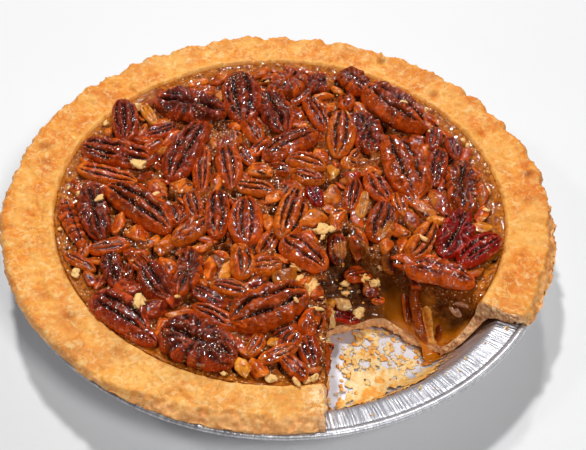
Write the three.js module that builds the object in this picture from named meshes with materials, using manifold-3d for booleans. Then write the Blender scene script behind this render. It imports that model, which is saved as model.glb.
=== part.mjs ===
// Pecan pie in its round foil pan, one slice taken out.
// Millimetres, +Z up. The origin is the centre of the pan's flat underside,
// the side of the missing slice faces -Y and a little to +X.
import * as THREE from 'three';
import { mergeVertices } from 'three/addons/utils/BufferGeometryUtils.js';
import Module from 'manifold-3d';

const wasm = await Module();
wasm.setup();

// ---------------------------------------------------------------- sizes
const GAP = 0.35;              // clearance between pieces that touch

// foil pan
const PAN_RIM_R = 111.0;       // outside of the rolled bead
const PAN_SHELF_R = 107.2;     // outside of the pleated shelf under the bead
const PAN_WALL_TOP_R = 99.9;   // inside of the shelf, where the wall starts down
const PAN_WALL_TOP_Z = 26.0;
const PAN_BASE_R = 82.0;       // flat base
const PAN_CORNER_R = 86.6;     // where the corner turns into the wall
const PAN_H = 28.4;            // top of the bead
const PAN_T = 0.42;            // sheet, drawn a little thicker than foil
const PAN_SEGMENTS = 60;       // every second one is a pleat
const PAN_PLEAT = 0.45;        // depth of a pleat

// crust
const CRUST_FLUTES = 46;       // pinched waves round the rim
const CRUST_SEGMENTS = 138;
const CRUST_RIM_R = 111.2;     // mean outer radius of the rim
const CRUST_OVAL = 1.05;       // it hangs over further at the left and the right
const CRUST_TREFOIL = 0.65;    // and less in three places
const CRUST_RIM_Z = 33.2;      // mean top of the outer edge
const CRUST_LIP_R = 91.0;      // inner edge of the rim, where the filling starts
const CRUST_LIP_Z = 32.2;
const CRUST_SKIRT_Z = 29.0;    // underside of the rim above the bead
const CRUST_BOTTOM_Z = 0.8;
const CRUST_FLOOR_Z = 4.8;     // top of the bottom crust
const CRUST_FLOOR_R = 78.5;

// filling
const FILL_BED_Z = 27.6;       // the bed that the nuts lie in
const FILL_EDGE_Z = 31.2;      // glazed ring against the crust
const FILL_SEGMENTS = 60;

// missing slice: straight cut on the left, slumped face at the tip and right
const CUT_X = 19.2;            // the left cut lies in this plane
const CUT_RIGHT_DEG = -31.2;   // direction of the right cut through the rim
const TOE_Z = 8.6;             // filling left on the bottom crust's torn edge
const HEAD_Z = 20.5;           // foot of the steep face under the top nuts

// ---------------------------------------------------------------- helpers
const TAU = Math.PI * 2;
const rad = (d) => (d * Math.PI) / 180;

function hash(i, k = 0) {
  const s = Math.sin(i * 127.1 + k * 311.7 + 17.3) * 43758.5453;
  return s - Math.floor(s);
}

// smooth periodic unevenness round the pie, about -1..1
function wobble(a, k) {
  return (
    Math.sin(3 * a + k) * 0.4 + Math.sin(7 * a + 2.3 * k + 1) * 0.35 +
    Math.sin(13 * a + 4.1 * k + 2) * 0.25
  );
}

function toManifold(geometry) {
  const g = geometry.clone();
  g.deleteAttribute('normal');
  g.deleteAttribute('uv');
  const m = mergeVertices(g, 1e-4);
  return new wasm.Manifold(new wasm.Mesh({
    numProp: 3,
    vertProperties: new Float32Array(m.attributes.position.array),
    triVerts: new Uint32Array(m.index.array),
  }));
}

function toGeometry(solid) {
  const mesh = solid.getMesh();
  const g = new THREE.BufferGeometry();
  g.setAttribute('position', new THREE.BufferAttribute(new Float32Array(mesh.vertProperties), 3));
  g.setIndex(new THREE.BufferAttribute(new Uint32Array(mesh.triVerts), 1));
  g.computeVertexNormals();
  return g;
}

// the largest body left after a cut
function largest(solid) {
  const parts = solid.decompose();
  return parts.reduce((a, b) => (a.volume() >= b.volume() ? a : b));
}

// a closed surface of revolution whose rings may vary round the axis:
// rings[k](a) gives [radius, z]; the first and last entries are axis heights
function turned(segments, bottomZ, rings, topZ) {
  const p = [0, 0, bottomZ];
  for (const ring of rings) {
    for (let j = 0; j < segments; j++) {
      const a = (j / segments) * TAU;
      const [r, z] = ring(a, j);
      p.push(r * Math.cos(a), r * Math.sin(a), z);
    }
  }
  p.push(0, 0, topZ);
  const last = p.length / 3 - 1;
  const at = (k, j) => 1 + k * segments + (j % segments);
  const t = [];
  for (let j = 0; j < segments; j++) {
    t.push(0, at(0, j + 1), at(0, j));
    for (let k = 0; k + 1 < rings.length; k++) {
      t.push(at(k, j), at(k, j + 1), at(k + 1, j + 1));
      t.push(at(k, j), at(k + 1, j + 1), at(k + 1, j));
    }
    t.push(last, at(rings.length - 1, j), at(rings.length - 1, j + 1));
  }
  const g = new THREE.BufferGeometry();
  g.setAttribute('position', new THREE.BufferAttribute(new Float32Array(p), 3));
  g.setIndex(t);
  return g;
}

// ---------------------------------------------------------------- pan
// one closed skin: underside and outside first, over the bead, down the inside
function panGeometry() {
  const pleat = (a, j) => (j % 2 ? PAN_PLEAT : -PAN_PLEAT) * (0.6 + 0.4 * hash(j, 1));
  const slope = Math.atan2(PAN_WALL_TOP_Z - 3.0, PAN_WALL_TOP_R - PAN_CORNER_R);
  const nx = Math.sin(slope) * PAN_T, nz = Math.cos(slope) * PAN_T;
  return turned(PAN_SEGMENTS, 0, [
    () => [PAN_BASE_R, 0],
    (a, j) => [PAN_CORNER_R + pleat(a, j) * 0.3, 3.0],
    (a, j) => [PAN_WALL_TOP_R + nx + pleat(a, j) * 0.4, PAN_WALL_TOP_Z - PAN_T + pleat(a, j) * 0.3],
    (a, j) => [PAN_SHELF_R, 26.6 + pleat(a, j) * 0.5],
    () => [PAN_RIM_R - 1.0, 26.3],
    () => [PAN_RIM_R, 27.3],
    () => [PAN_RIM_R - 0.8, PAN_H],
    () => [PAN_RIM_R - 2.6, PAN_H - 0.4],
    (a, j) => [PAN_SHELF_R, 27.2 + pleat(a, j) * 0.5],
    (a, j) => [PAN_WALL_TOP_R + pleat(a, j) * 0.4, PAN_WALL_TOP_Z + pleat(a, j) * 0.3],
    (a, j) => [PAN_CORNER_R - nx + pleat(a, j) * 0.3, 3.0 + nz],
    () => [PAN_BASE_R - 0.2, PAN_T],
  ], PAN_T);
}

// ---------------------------------------------------------------- crust
function crustRim(a) {
  // flutes fade out towards the front, where the edge is pressed smoother
  const strength = 0.45 + 0.55 * Math.max(0, Math.sin(a + 0.5));
  const wave = Math.cos(CRUST_FLUTES * a + 0.9 * wobble(a, 2));
  const out = CRUST_OVAL * Math.cos(2 * a + 0.29) - CRUST_TREFOIL * Math.sin(3 * a) - 0.35 * Math.cos(a);
  return {
    r: CRUST_RIM_R + out + 0.7 * wave * strength + 0.4 * wobble(a, 1),
    z: CRUST_RIM_Z + 0.9 * wave * strength + 0.6 * wobble(a, 5) + 0.7 * Math.sin(a),
  };
}

function crustGeometry() {
  return turned(CRUST_SEGMENTS, CRUST_BOTTOM_Z, [
    () => [81.0, CRUST_BOTTOM_Z],
    () => [95.8, 26.0],
    () => [105.0, CRUST_SKIRT_Z - 0.7],
    (a) => [crustRim(a).r - 1.2, CRUST_SKIRT_Z + 0.4],
    (a) => [crustRim(a).r, crustRim(a).z - 1.9],
    (a) => [crustRim(a).r - 1.1, crustRim(a).z],
    (a) => [99.5 + wobble(a, 3) * 0.8, 33.3 + 0.45 * Math.cos(CRUST_FLUTES * a) + 0.4 * wobble(a, 6)],
    (a) => [CRUST_LIP_R + 0.5 * wobble(a, 4), CRUST_LIP_Z + 0.3 * wobble(a, 7)],
    () => [CRUST_FLOOR_R, CRUST_FLOOR_Z],
  ], CRUST_FLOOR_Z);
}

// torn edge of the bottom crust at the foot of the slumped face
const TOE = [
  [CUT_X, -45.6], [25.2, -43.6], [31.0, -41.2], [38.0, -39.3], [43.6, -39.5],
  [50.0, -43.0], [55.0, -47.0], [61.0, -48.8], [67.6, -50.8],
];
// top of the slumped face, along the two cuts towards the slice's tip
const HEAD = TOE.map((toe, i) => {
  const s = 0.9 + (i / (TOE.length - 1)) * 57.5;
  const x = 19.4 + s;
  return [x, -14.5 - Math.max(0, x - 22) * 0.588 - 1.2 * Math.sin(i * 1.7)];
});

function wedgeGeometry(offset) {
  // the part of the pan that is bare
  const out = 140;
  const c = Math.cos(rad(CUT_RIGHT_DEG)), s = Math.sin(rad(CUT_RIGHT_DEG));
  const shape = new THREE.Shape();
  shape.moveTo(CUT_X - offset, -out);
  for (const [x, y] of TOE) shape.lineTo(x - (x === CUT_X ? offset : 0), y + offset);
  shape.lineTo(76.4, -49.0 + offset);
  shape.lineTo(82.0 - offset * s, -51.4 + offset);
  shape.lineTo(96.0 * c - offset * s, 96.0 * s - 1.2 + offset * c);
  shape.lineTo(out * c, out * s);
  shape.lineTo(out, -out);
  shape.closePath();
  const g = new THREE.ExtrudeGeometry(shape, { depth: 80, bevelEnabled: false });
  g.translate(0, 0, -20);
  return g;
}

// what the slump took out of the filling: a body whose floor slopes from
// the head line down to the toe line
function slumpGeometry() {
  const n = TOE.length, p = [], t = [];
  for (let i = 0; i < n; i++) {
    const [hx, hy] = HEAD[i], [tx, ty] = TOE[i];
    const dz = 1.4 * Math.sin(i * 2.1);
    const sag = 0.45 + 0.08 * Math.sin(i * 1.3);
    const ox = (tx - hx) * 0.06, oy = (ty - hy) * 0.06;
    p.push(hx, hy, 60, hx, hy, HEAD_Z + dz);                        // 0 top, 1 head
    p.push(hx + (tx - hx) * sag, hy + (ty - hy) * sag, TOE_Z + (HEAD_Z - TOE_Z) * (0.52 - 0.06 * Math.sin(i)));
    p.push(tx, ty, TOE_Z - 1.6 + 0.5 * Math.sin(i * 1.9));          // 3 toe
    p.push(tx + ox, ty + oy - 1.5, TOE_Z - 2.6, tx + ox, ty + oy - 1.5, 60);
  }
  const m = 6, at = (i, k) => i * m + k;
  for (let i = 0; i + 1 < n; i++) {
    for (let k = 0; k < m; k++) {
      const l = (k + 1) % m;
      t.push(at(i, k), at(i + 1, l), at(i, l), at(i, k), at(i + 1, k), at(i + 1, l));
    }
  }
  for (const [i, flip] of [[0, false], [n - 1, true]]) {
    for (let k = 1; k + 1 < m; k++) {
      const f = [at(i, 0), at(i, k), at(i, k + 1)];
      t.push(...(flip ? [f[0], f[2], f[1]] : f));
    }
  }
  const g = new THREE.BufferGeometry();
  g.setAttribute('position', new THREE.BufferAttribute(new Float32Array(p), 3));
  g.setIndex(t);
  return g;
}

// ---------------------------------------------------------------- filling
function fillingGeometry() {
  const bed = (r) => (a, j) => [r, FILL_BED_Z + 0.35 * wobble(a, r * 0.3) + 0.25 * (hash(j, r) - 0.5)];
  return turned(FILL_SEGMENTS, CRUST_FLOOR_Z + GAP, [
    () => [CRUST_FLOOR_R - 0.4, CRUST_FLOOR_Z + GAP],
    (a) => [CRUST_LIP_R - 1.3 + 0.5 * wobble(a, 4), FILL_EDGE_Z + 0.25 * wobble(a, 9)],
    (a) => [87.0, FILL_EDGE_Z - 1.6 + 0.3 * wobble(a, 8)],
    bed(81), bed(66), bed(50), bed(33), bed(16),
  ], FILL_BED_Z);
}

// ---------------------------------------------------------------- pecan halves
// A half lies along local X with its ridged back up. The back has a middle
// ridge between two grooves; a creased half shows its flat side with one
// groove; a chip is a plain broken piece.
const STATIONS = [-0.78, -0.3, 0.3, 0.78];
const BACK = {
  // [angle in degrees, reach] round the section
  ridged: [[-8, 1], [33, 0.98], [62, 0.8], [90, 1.0], [118, 0.8], [147, 0.98], [188, 1], [232, 0.86], [308, 0.86]],
  creased: [[-10, 1], [28, 1.0], [58, 0.98], [90, 0.62], [122, 0.98], [152, 1.0], [190, 1], [236, 0.9], [304, 0.9]],
  edge: [[0, 1], [40, 0.93], [75, 1.0], [105, 0.84], [140, 1.0], [180, 1], [220, 0.88], [270, 0.95], [320, 0.88]],
  chip: [[0, 1], [45, 0.9], [90, 1.0], [140, 0.88], [180, 1], [225, 0.9], [270, 0.92], [315, 0.88]],
};

function pecanGeometry(n, grow) {
  const section = BACK[n.kind];
  const m = section.length;
  const hl = n.length * FULLNESS / 2 + grow, hw = n.width * FULLNESS / 2 + grow, hh = n.width * n.depth / 2 + grow;
  const p = [-hl, 0, -hh * 0.1];
  for (let k = 0; k < STATIONS.length; k++) {
    const u = STATIONS[k];
    // blunt at the stem end, more pointed at the tip
    const taper = Math.pow(1 - Math.pow(Math.abs(u), u > 0 ? 2.6 : 3.6), 0.5);
    for (const [deg, reach] of section) {
      const a = rad(deg);
      const uneven = 1 + 0.05 * (hash(n.seed * 13 + k, deg) - 0.5);
      p.push(
        u * hl,
        Math.cos(a) * hw * taper * uneven,
        Math.sin(a) * hh * reach * (0.25 + 0.75 * taper) * uneven,
      );
    }
  }
  p.push(hl, 0, -hh * 0.1);
  // bend along the length
  for (let i = 0; i < p.length; i += 3) {
    const u = p[i] / hl;
    p[i + 1] += n.bend * (u * u - 0.4);
  }
  const last = p.length / 3 - 1, t = [];
  const at = (k, j) => 1 + k * m + (j % m);
  for (let j = 0; j < m; j++) {
    t.push(0, at(0, j + 1), at(0, j));
    for (let k = 0; k + 1 < STATIONS.length; k++) {
      t.push(at(k, j), at(k, j + 1), at(k + 1, j + 1), at(k, j), at(k + 1, j + 1), at(k + 1, j));
    }
    t.push(last, at(STATIONS.length - 1, j), at(STATIONS.length - 1, j + 1));
  }
  const g = new THREE.BufferGeometry();
  g.setAttribute('position', new THREE.BufferAttribute(new Float32Array(p), 3));
  g.setIndex(t);
  return g;
}

// Where each nut lies: x, y, length, width, heading of its long axis in
// degrees, height of its middle, pitch, roll, form, bend, shade. The ones
// that lie on top come first; a nut further down the list is cut by them.
const LAYOUT = [
  [51, 22, 36, 17, 106, 34.6, 0, 0, 'ridged', 1.0, 'red'],
  [48, 59, 37, 17, -48, 34.8, 0, -6, 'ridged', 1.2, 'dark'],
  [-2, -58, 31, 17, 30, 34.8, 0, 8, 'ridged', 0.6, 'red'],
  [-27, -76, 30, 18, -27, 34.4, 0, 4, 'creased', 0, 'plum'],
  [70, -16.5, 26, 12, 68, 34.8, 0, 8, 'creased', 1.4, 'ruby'],
  [79, -24.5, 23, 11, 42, 34.2, 0, -5, 'ridged', -1.2, 'ruby'],
  [-42, 55, 32, 16, -12, 34.2, 0, 5, 'creased', 0.8, 'plum'],
  [-41, 26.5, 36, 14, 73, 34.2, 2, 0, 'ridged', -1, 'plum'],
  [-70, 22.8, 32, 13, -14, 34.0, 0, 6, 'ridged', 0.8, 'dark'],
  [-74.5, -12, 30, 11.5, -73, 34.4, 0, -6, 'creased', 0.6, 'plum'],
  [-57, -8, 36, 13, -40, 34.0, 0, 6, 'ridged', -1.2, 'dark'],
  [-57, -63.5, 27, 13, -35, 34.2, 0, 8, 'ridged', -1.4, 'plum'],
  [-45, -48.5, 19, 12, -55, 35.0, -6, 10, 'edge', 1.5, 'plum'],
  [1, 73, 21, 14, 55, 34.6, 0, -8, 'creased', 1.2, 'red'],
  [-20, 63.5, 33, 16, 98, 33.4, 0, 4, 'ridged', 0.8, 'plum'],
  [-5, 54.5, 28, 13, 112, 34.4, 0, -6, 'creased', 0.4, 'plum'],
  [3, 32.5, 28, 13, 38, 34.0, 0, -10, 'ridged', -0.8, 'dark'],
  [24.5, 41, 29, 11, 86, 34.4, 0, 0, 'ridged', 0.8, 'amber'],
  [35.5, 44, 25, 14, 105, 32.9, 0, 6, 'creased', 0, 'plum'],
  [75, 11.5, 30, 12, 88, 34.0, 0, 5, 'creased', -0.8, 'dark'],
  [63, -37.8, 26, 11.5, -14, 33.8, 0, -8, 'edge', -1.0, 'red'],
  [10, -30, 23, 13, -48, 34.4, 6, 0, 'ridged', 1.0, 'red'],
  [4.5, -8, 29, 11, 78, 33.8, 0, 20, 'edge', 0.6, 'amber'],
  [-13.5, -13, 26, 12.5, 95, 33.6, 0, 0, 'ridged', 0, 'red'],
  [-25.3, -9.5, 26, 9.5, 93, 33.6, 0, 0, 'ridged', 0.5, 'dark'],
  [-22.5, 18, 26, 10, 100, 33.6, 0, -5, 'ridged', 0.5, 'red'],
  [-33.6, 16, 27, 7, 92, 33.4, 0, 0, 'edge', -0.8, 'red'],
  [-34.5, -41, 24, 9.5, 84, 34.0, 0, 0, 'creased', 1.6, 'dark'],
  [10, 21.5, 17, 8.5, -14, 34.6, 0, 0, 'edge', -1.4, 'amber'],
  [10.5, 13.2, 15, 8, -15, 34.0, 0, 0, 'edge', 1.0, 'amber'],
  [41, -10.5, 22, 11, 76, 33.6, 0, 0, 'ridged', 0.6, 'dark'],
  [39.5, 8.5, 17, 9.5, -65, 34.2, 0, 0, 'ridged', 0.8, 'red'],
  [57, -20, 22, 9.5, 62, 33.6, 0, 18, 'edge', 0.6, 'amber'],
  [31, 76.8, 19, 12.5, -52, 34.4, 0, -6, 'creased', 1.6, 'dark'],
  [-14, -35.5, 17, 9.5, 100, 34.4, 0, 0, 'edge', 1.2, 'amber'],
  [-69.8, 44.5, 26, 11, 100, 33.8, 0, 6, 'edge', 0.8, 'plum'],
  [-35, -20, 19, 8.5, 50, 34.0, 0, 0, 'edge', 0.8, 'amber'],
  [13.5, 54, 23, 8, 114, 33.6, 0, 12, 'ridged', 0.4, 'dark'],
  [-82.3, -18, 28, 6.8, -65, 33.2, 0, 0, 'edge', 1.0, 'red'],
  [29.3, 4, 19, 7, 82, 33.6, 0, 0, 'edge', 0.5, 'dark'],
  [65.5, 23.5, 23, 8.5, 78, 33.2, 0, 0, 'ridged', -0.6, 'plum'],
  [-73, 11, 26, 8, -17, 32.6, 0, 14, 'ridged', 0.4, 'amber'],
  [-21, -62.8, 22, 6.8, -28, 33.2, 0, 14, 'ridged', 0.3, 'red'],
  [-10.8, 5.8, 16, 8, -12, 33.4, 0, 0, 'ridged', 0.6, 'amber'],
  [-63, -41, 18, 8, -70, 33.2, 0, 0, 'creased', 0.5, 'plum'],
  [-46.5, -59.5, 14, 9, 20, 33.0, 0, 0, 'chip', 0, 'plum'],
  [23.3, -10.5, 14, 6.8, 68, 33.4, 0, 0, 'chip', 0.6, 'amber'],
  [-50.6, -70.6, 19, 7.5, -34, 32.8, 0, -6, 'edge', 0.6, 'plum'],
  [14.5, 76.5, 14, 10, 10, 32.8, 0, 6, 'creased', 0.4, 'plum'],
  [-17, -48.5, 16, 7, -14, 33.0, 0, 0, 'edge', -1.2, 'amber'],
  [-35.2, -5, 16, 7, -76, 33.0, 0, 0, 'edge', 0.5, 'red'],
  [65.3, 2, 15, 7, 112, 32.8, 0, 0, 'chip', 0.4, 'plum'],
  [58.5, -3.5, 12, 8, -50, 33.0, 0, 0, 'chip', 0.4, 'red'],
  [-53.5, 39.5, 16, 6.5, 28, 32.6, 0, 0, 'edge', 0.6, 'plum'],
  [-9.3, 16, 14, 8.5, -20, 32.8, 0, 0, 'chip', 0.4, 'amber'],
  // half stuck on the slumped face
  [59.2, -41.6, 27, 11.5, -73, 18.2, -41, -6, 'ridged', 0.4, 'amber'],
];
const PECAN_DEPTH = 0.56;      // thickness of a half over its width
const FULLNESS = 1.05;         // corners stand out, so the flats reach the real skin

const SHADES = {
  plum: 0x4a1712, dark: 0x5c1a0c, red: 0x842408, ruby: 0x7a0f0c, amber: 0xa6480f,
};

// ---------------------------------------------------------------- build
const foil = new THREE.MeshStandardMaterial({ color: 0xc9c8cf, roughness: 0.32, metalness: 1.0 });
const pastry = new THREE.MeshStandardMaterial({ color: 0xdf9c54, roughness: 0.75, metalness: 0.0 });
const caramel = new THREE.MeshStandardMaterial({ color: 0x8a4410, roughness: 0.25, metalness: 0.0 });
const nutSkin = Object.fromEntries(Object.entries(SHADES).map(([k, c]) =>
  [k, new THREE.MeshStandardMaterial({ color: c, roughness: 0.3, metalness: 0.0 })]));

const pie = new THREE.Group();

function add(name, geometry, material) {
  const mesh = new THREE.Mesh(geometry, material);
  mesh.name = name;
  pie.add(mesh);
  return mesh;
}

const pan = panGeometry();
pan.computeVertexNormals();
add('pan', pan, foil);

const crustSolid = largest(toManifold(crustGeometry()).subtract(toManifold(wedgeGeometry(0))));
add('crust', toGeometry(crustSolid), pastry);

const slump = toManifold(slumpGeometry());
const fillingSolid = largest(
  toManifold(fillingGeometry()).subtract(toManifold(wedgeGeometry(0.6))).subtract(slump),
);
add('filling', toGeometry(fillingSolid), caramel);

const lying = [];
LAYOUT.forEach((row, i) => {
  const [x, y, length, width, heading, z, pitch, roll, kind, bend, shade] = row;
  const n = { length, width, kind, bend, depth: PECAN_DEPTH, seed: i + 1 };
  const holder = new THREE.Object3D();
  holder.position.set(x, y, z);
  holder.rotation.set(rad(roll), rad(-pitch), rad(heading), 'ZYX');
  holder.updateMatrixWorld(true);
  const place = (grow) => toManifold(pecanGeometry(n, grow).applyMatrix4(holder.matrixWorld));
  let solid = place(0);
  const reach = length / 2 + 2;
  for (const other of lying) {
    const d = Math.hypot(other.x - x, other.y - y);
    if (d < reach + other.reach) solid = solid.subtract(other.grown);
  }
  solid = largest(solid.subtract(bedding()));
  lying.push({ x, y, reach, grown: place(GAP) });
  const g = toGeometry(solid).applyMatrix4(holder.matrixWorld.clone().invert());
  g.computeVertexNormals();
  const mesh = add(`pecan_${String(i + 1).padStart(2, '0')}`, g, nutSkin[shade]);
  mesh.position.copy(holder.position);
  mesh.rotation.copy(holder.rotation);
});

// the filling and the crust, a gap thicker, which a nut may lean on
function bedding() {
  if (!bedding.solid) {
    const up = toManifold(fillingGeometry()).subtract(toManifold(wedgeGeometry(0.6))).subtract(slump);
    const lip = toManifold(crustGeometry()).subtract(toManifold(wedgeGeometry(0)));
    bedding.solid = up.add(up.translate([0, 0, GAP])).add(lip)
      .add(lip.translate([0, 0, GAP])).add(lip.scale([0.996, 0.996, 1]));
  }
  return bedding.solid;
}

export default pie;
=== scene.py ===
import math

import bpy
import numpy as np
from mathutils import Matrix, Vector


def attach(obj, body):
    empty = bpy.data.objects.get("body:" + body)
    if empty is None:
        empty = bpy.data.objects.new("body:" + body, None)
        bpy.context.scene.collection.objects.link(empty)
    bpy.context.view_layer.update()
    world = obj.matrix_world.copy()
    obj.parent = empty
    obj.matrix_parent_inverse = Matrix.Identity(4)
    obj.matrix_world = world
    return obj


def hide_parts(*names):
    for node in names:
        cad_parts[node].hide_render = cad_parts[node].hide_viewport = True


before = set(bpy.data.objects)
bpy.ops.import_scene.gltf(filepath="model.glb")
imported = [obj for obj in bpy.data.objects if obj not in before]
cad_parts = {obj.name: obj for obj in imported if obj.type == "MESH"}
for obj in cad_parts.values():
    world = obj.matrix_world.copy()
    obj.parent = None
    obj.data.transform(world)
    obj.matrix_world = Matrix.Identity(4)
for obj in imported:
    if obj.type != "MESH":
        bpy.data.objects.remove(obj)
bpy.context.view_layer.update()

# Everything below is worked out in millimetres in the row's frame and scaled to metres.
MM = 0.001
TAU = math.tau

# ------------------------------------------------------------------ sizes shared with the CAD
CRUST_LIP_R, CRUST_FLOOR_Z, CRUST_BOTTOM_Z = 91.0, 4.8, 0.8
CUT_X = 19.2
TOE = np.array([
    (CUT_X, -45.6), (25.2, -43.6), (31.0, -41.2), (38.0, -39.3), (43.6, -39.5),
    (50.0, -43.0), (55.0, -47.0), (61.0, -49.6), (66.0, -52.3), (70.5, -53.8), (73.2, -52.4), (76.4, -49.2)])
HEAD_Y0, HEAD_X0, HEAD_SLOPE = -14.5, 22.0, -0.588
# the right cut: radius and direction in degrees
RIGHT_CUT = np.array([
    (60.0, -38.6), (80.0, -38.6), (84.8, -38.4), (88.7, -37.3), (90.0, -35.6), (91.0, -32.9), (93.9, -33.0), (96.1, -32.8), (100.4, -32.3),
    (105.4, -31.6), (111.0, -30.5), (115.0, -29.9)])
# the side wall below the rim is torn lower down: height and direction
RIGHT_TEAR = np.array([(2.0, -38.4), (5.0, -38.4), (10.0, -38.0), (14.0, -37.2), (16.0, -36.3), (18.0, -34.7), (22.0, -33.1), (26.0, -32.6), (40.0, -32.6)])
# inside and outside of the pastry's side wall: radius at each height
SIDE_IN = np.array([(82.6, 5.6), (85.6, 9.5), (88.2, 14.5), (89.9, 19.5), (90.9, 24.5), (91.2, 28.0), (91.2, 30.8)])
SIDE_OUT = np.array([(84.6, 2.4), (88.4, 8.0), (91.2, 13.5), (93.4, 19.0), (94.8, 22.8), (96.2, 25.4), (97.6, 26.7)])


# ------------------------------------------------------------------ noise
def _hash(ix, iy, iz, seed):
    m = np.uint64(0xFFFFFFFF)
    n = (ix.astype(np.int64).astype(np.uint64) * np.uint64(374761393)
         + iy.astype(np.int64).astype(np.uint64) * np.uint64(668265263)
         + iz.astype(np.int64).astype(np.uint64) * np.uint64(2246822519)
         + np.uint64(seed) * np.uint64(3266489917)) & m
    n = ((n ^ (n >> np.uint64(15))) * np.uint64(2246822519)) & m
    n = ((n ^ (n >> np.uint64(13))) * np.uint64(3266489917)) & m
    n = n ^ (n >> np.uint64(16))
    return n.astype(np.float64) / 4294967295.0


def noise(p, freq, seed=0):
    """Smooth value noise, -1..1, at points p (n, 3) in mm; freq is features per mm."""
    q = np.asarray(p, float) * freq
    i = np.floor(q)
    f = q - i
    f = f * f * f * (f * (f * 6 - 15) + 10)
    ix, iy, iz = i[:, 0], i[:, 1], i[:, 2]
    out = 0.0
    for dx in (0, 1):
        wx = f[:, 0] if dx else 1 - f[:, 0]
        for dy in (0, 1):
            wy = f[:, 1] if dy else 1 - f[:, 1]
            for dz in (0, 1):
                wz = f[:, 2] if dz else 1 - f[:, 2]
                out = out + wx * wy * wz * _hash(ix + dx, iy + dy, iz + dz, seed)
    return out * 2 - 1


def fbm(p, freq, octaves=3, seed=0, gain=0.5):
    total, amp, norm = 0.0, 1.0, 0.0
    for k in range(octaves):
        total = total + amp * noise(p, freq * (2.03 ** k), seed + 11 * k)
        norm += amp
        amp *= gain
    return total / norm


def cells(p, size, seed=0):
    """Distance in mm to the nearest of scattered points about size mm apart, and a number 0..1 for that point."""
    q = np.asarray(p, float) / size
    base = np.floor(q)
    best = np.full(len(q), 9.0)
    tag = np.zeros(len(q))
    flat = np.ptp(q[:, 2]) < 1e-9
    for dx in (-1, 0, 1):
        for dy in (-1, 0, 1):
            for dz in ((0,) if flat else (-1, 0, 1)):
                cx, cy, cz = base[:, 0] + dx, base[:, 1] + dy, base[:, 2] + dz
                ox = cx + _hash(cx, cy, cz, seed)
                oy = cy + _hash(cx, cy, cz, seed + 1)
                oz = q[:, 2] if flat else cz + _hash(cx, cy, cz, seed + 2)
                d = np.sqrt((ox - q[:, 0]) ** 2 + (oy - q[:, 1]) ** 2 + (oz - q[:, 2]) ** 2)
                near = d < best
                best = np.where(near, d, best)
                tag = np.where(near, _hash(cx, cy, cz, seed + 3), tag)
    return best * size, tag


def smooth(a, b, x):
    t = np.clip((np.asarray(x, float) - a) / (b - a), 0, 1)
    return t * t * (3 - 2 * t)


def hash1(i, k=0):
    s = math.sin(i * 127.1 + k * 311.7 + 17.3) * 43758.5453
    return s - math.floor(s)


# ------------------------------------------------------------------ meshes
def make(name, verts, faces, material, attrs=None, smooth_shade=True):
    """A mesh object from points in mm and lists of faces; attrs are point attributes."""
    mesh = bpy.data.meshes.new(name)
    verts = np.asarray(verts, np.float64) * MM
    groups = faces if isinstance(faces, list) else [faces]
    groups = [np.asarray(g, np.int64) for g in groups if len(g)]
    loops = np.concatenate([g.ravel() for g in groups])
    sizes = np.concatenate([np.full(len(g), g.shape[1], np.int64) for g in groups])
    starts = np.concatenate([[0], np.cumsum(sizes)[:-1]])
    mesh.vertices.add(len(verts))
    mesh.vertices.foreach_set("co", verts.astype(np.float32).ravel())
    mesh.loops.add(len(loops))
    mesh.loops.foreach_set("vertex_index", loops.astype(np.int32))
    mesh.polygons.add(len(sizes))
    mesh.polygons.foreach_set("loop_start", starts.astype(np.int32))
    mesh.polygons.foreach_set("loop_total", sizes.astype(np.int32))
    mesh.update(calc_edges=True)
    mesh.validate()
    mesh.polygons.foreach_set("use_smooth", np.full(len(mesh.polygons), bool(smooth_shade)))
    for key, value in (attrs or {}).items():
        value = np.asarray(value, np.float32)
        if value.ndim == 1:
            a = mesh.attributes.new(key, "FLOAT", "POINT")
            a.data.foreach_set("value", value)
        else:
            a = mesh.attributes.new(key, "FLOAT_COLOR", "POINT")
            rgba = np.ones((len(value), 4), np.float32)
            rgba[:, :3] = value
            a.data.foreach_set("color", rgba.ravel())
    obj = bpy.data.objects.new(name, mesh)
    bpy.context.scene.collection.objects.link(obj)
    mesh.materials.append(material)
    return obj


def grid_faces(rows, cols, wrap=False, offset=0, flip=False):
    r = np.arange(rows - 1)[:, None]
    c = np.arange(cols if wrap else cols - 1)[None, :]
    c1 = (c + 1) % cols
    a, b = r * cols + c, r * cols + c1
    d, e = (r + 1) * cols + c, (r + 1) * cols + c1
    f = np.stack([a, b, e, d], -1).reshape(-1, 4) + offset
    return f[:, ::-1] if flip else f


class Bag:
    """Collects vertex blocks and faces of one joined mesh."""

    def __init__(self):
        self.v, self.q, self.t, self.a, self.n = [], [], [], {}, 0

    def add(self, verts, quads=None, tris=None, **attrs):
        off = self.n
        self.v.append(np.asarray(verts, float))
        if quads is not None and len(quads):
            self.q.append(np.asarray(quads) + off)
        if tris is not None and len(tris):
            self.t.append(np.asarray(tris) + off)
        for k, val in attrs.items():
            val = np.asarray(val, float)
            if val.ndim == 0:
                val = np.full(len(verts), float(val))
            self.a.setdefault(k, []).append((off, val))
        self.n += len(verts)
        return off

    def build(self, name, material, smooth_shade=True):
        verts = np.concatenate(self.v)
        faces = []
        if self.q:
            faces.append(np.concatenate(self.q))
        if self.t:
            faces.append(np.concatenate(self.t))
        attrs = {}
        for k, parts in self.a.items():
            dim = parts[0][1].ndim
            full = np.zeros(len(verts)) if dim == 1 else np.zeros((len(verts), 3))
            for off, val in parts:
                full[off:off + len(val)] = val
            attrs[k] = full
        return make(name, verts, faces, material, attrs, smooth_shade)


FOIL_IN = np.array([(0, 0.35), (81.0, 0.45), (83.2, 1.3), (85.0, 2.8), (86.6, 4.9), (89.6, 9.8), (92.4, 14.8), (95.2, 19.6), (97.8, 23.8), (98.6, 25.0)])


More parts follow.
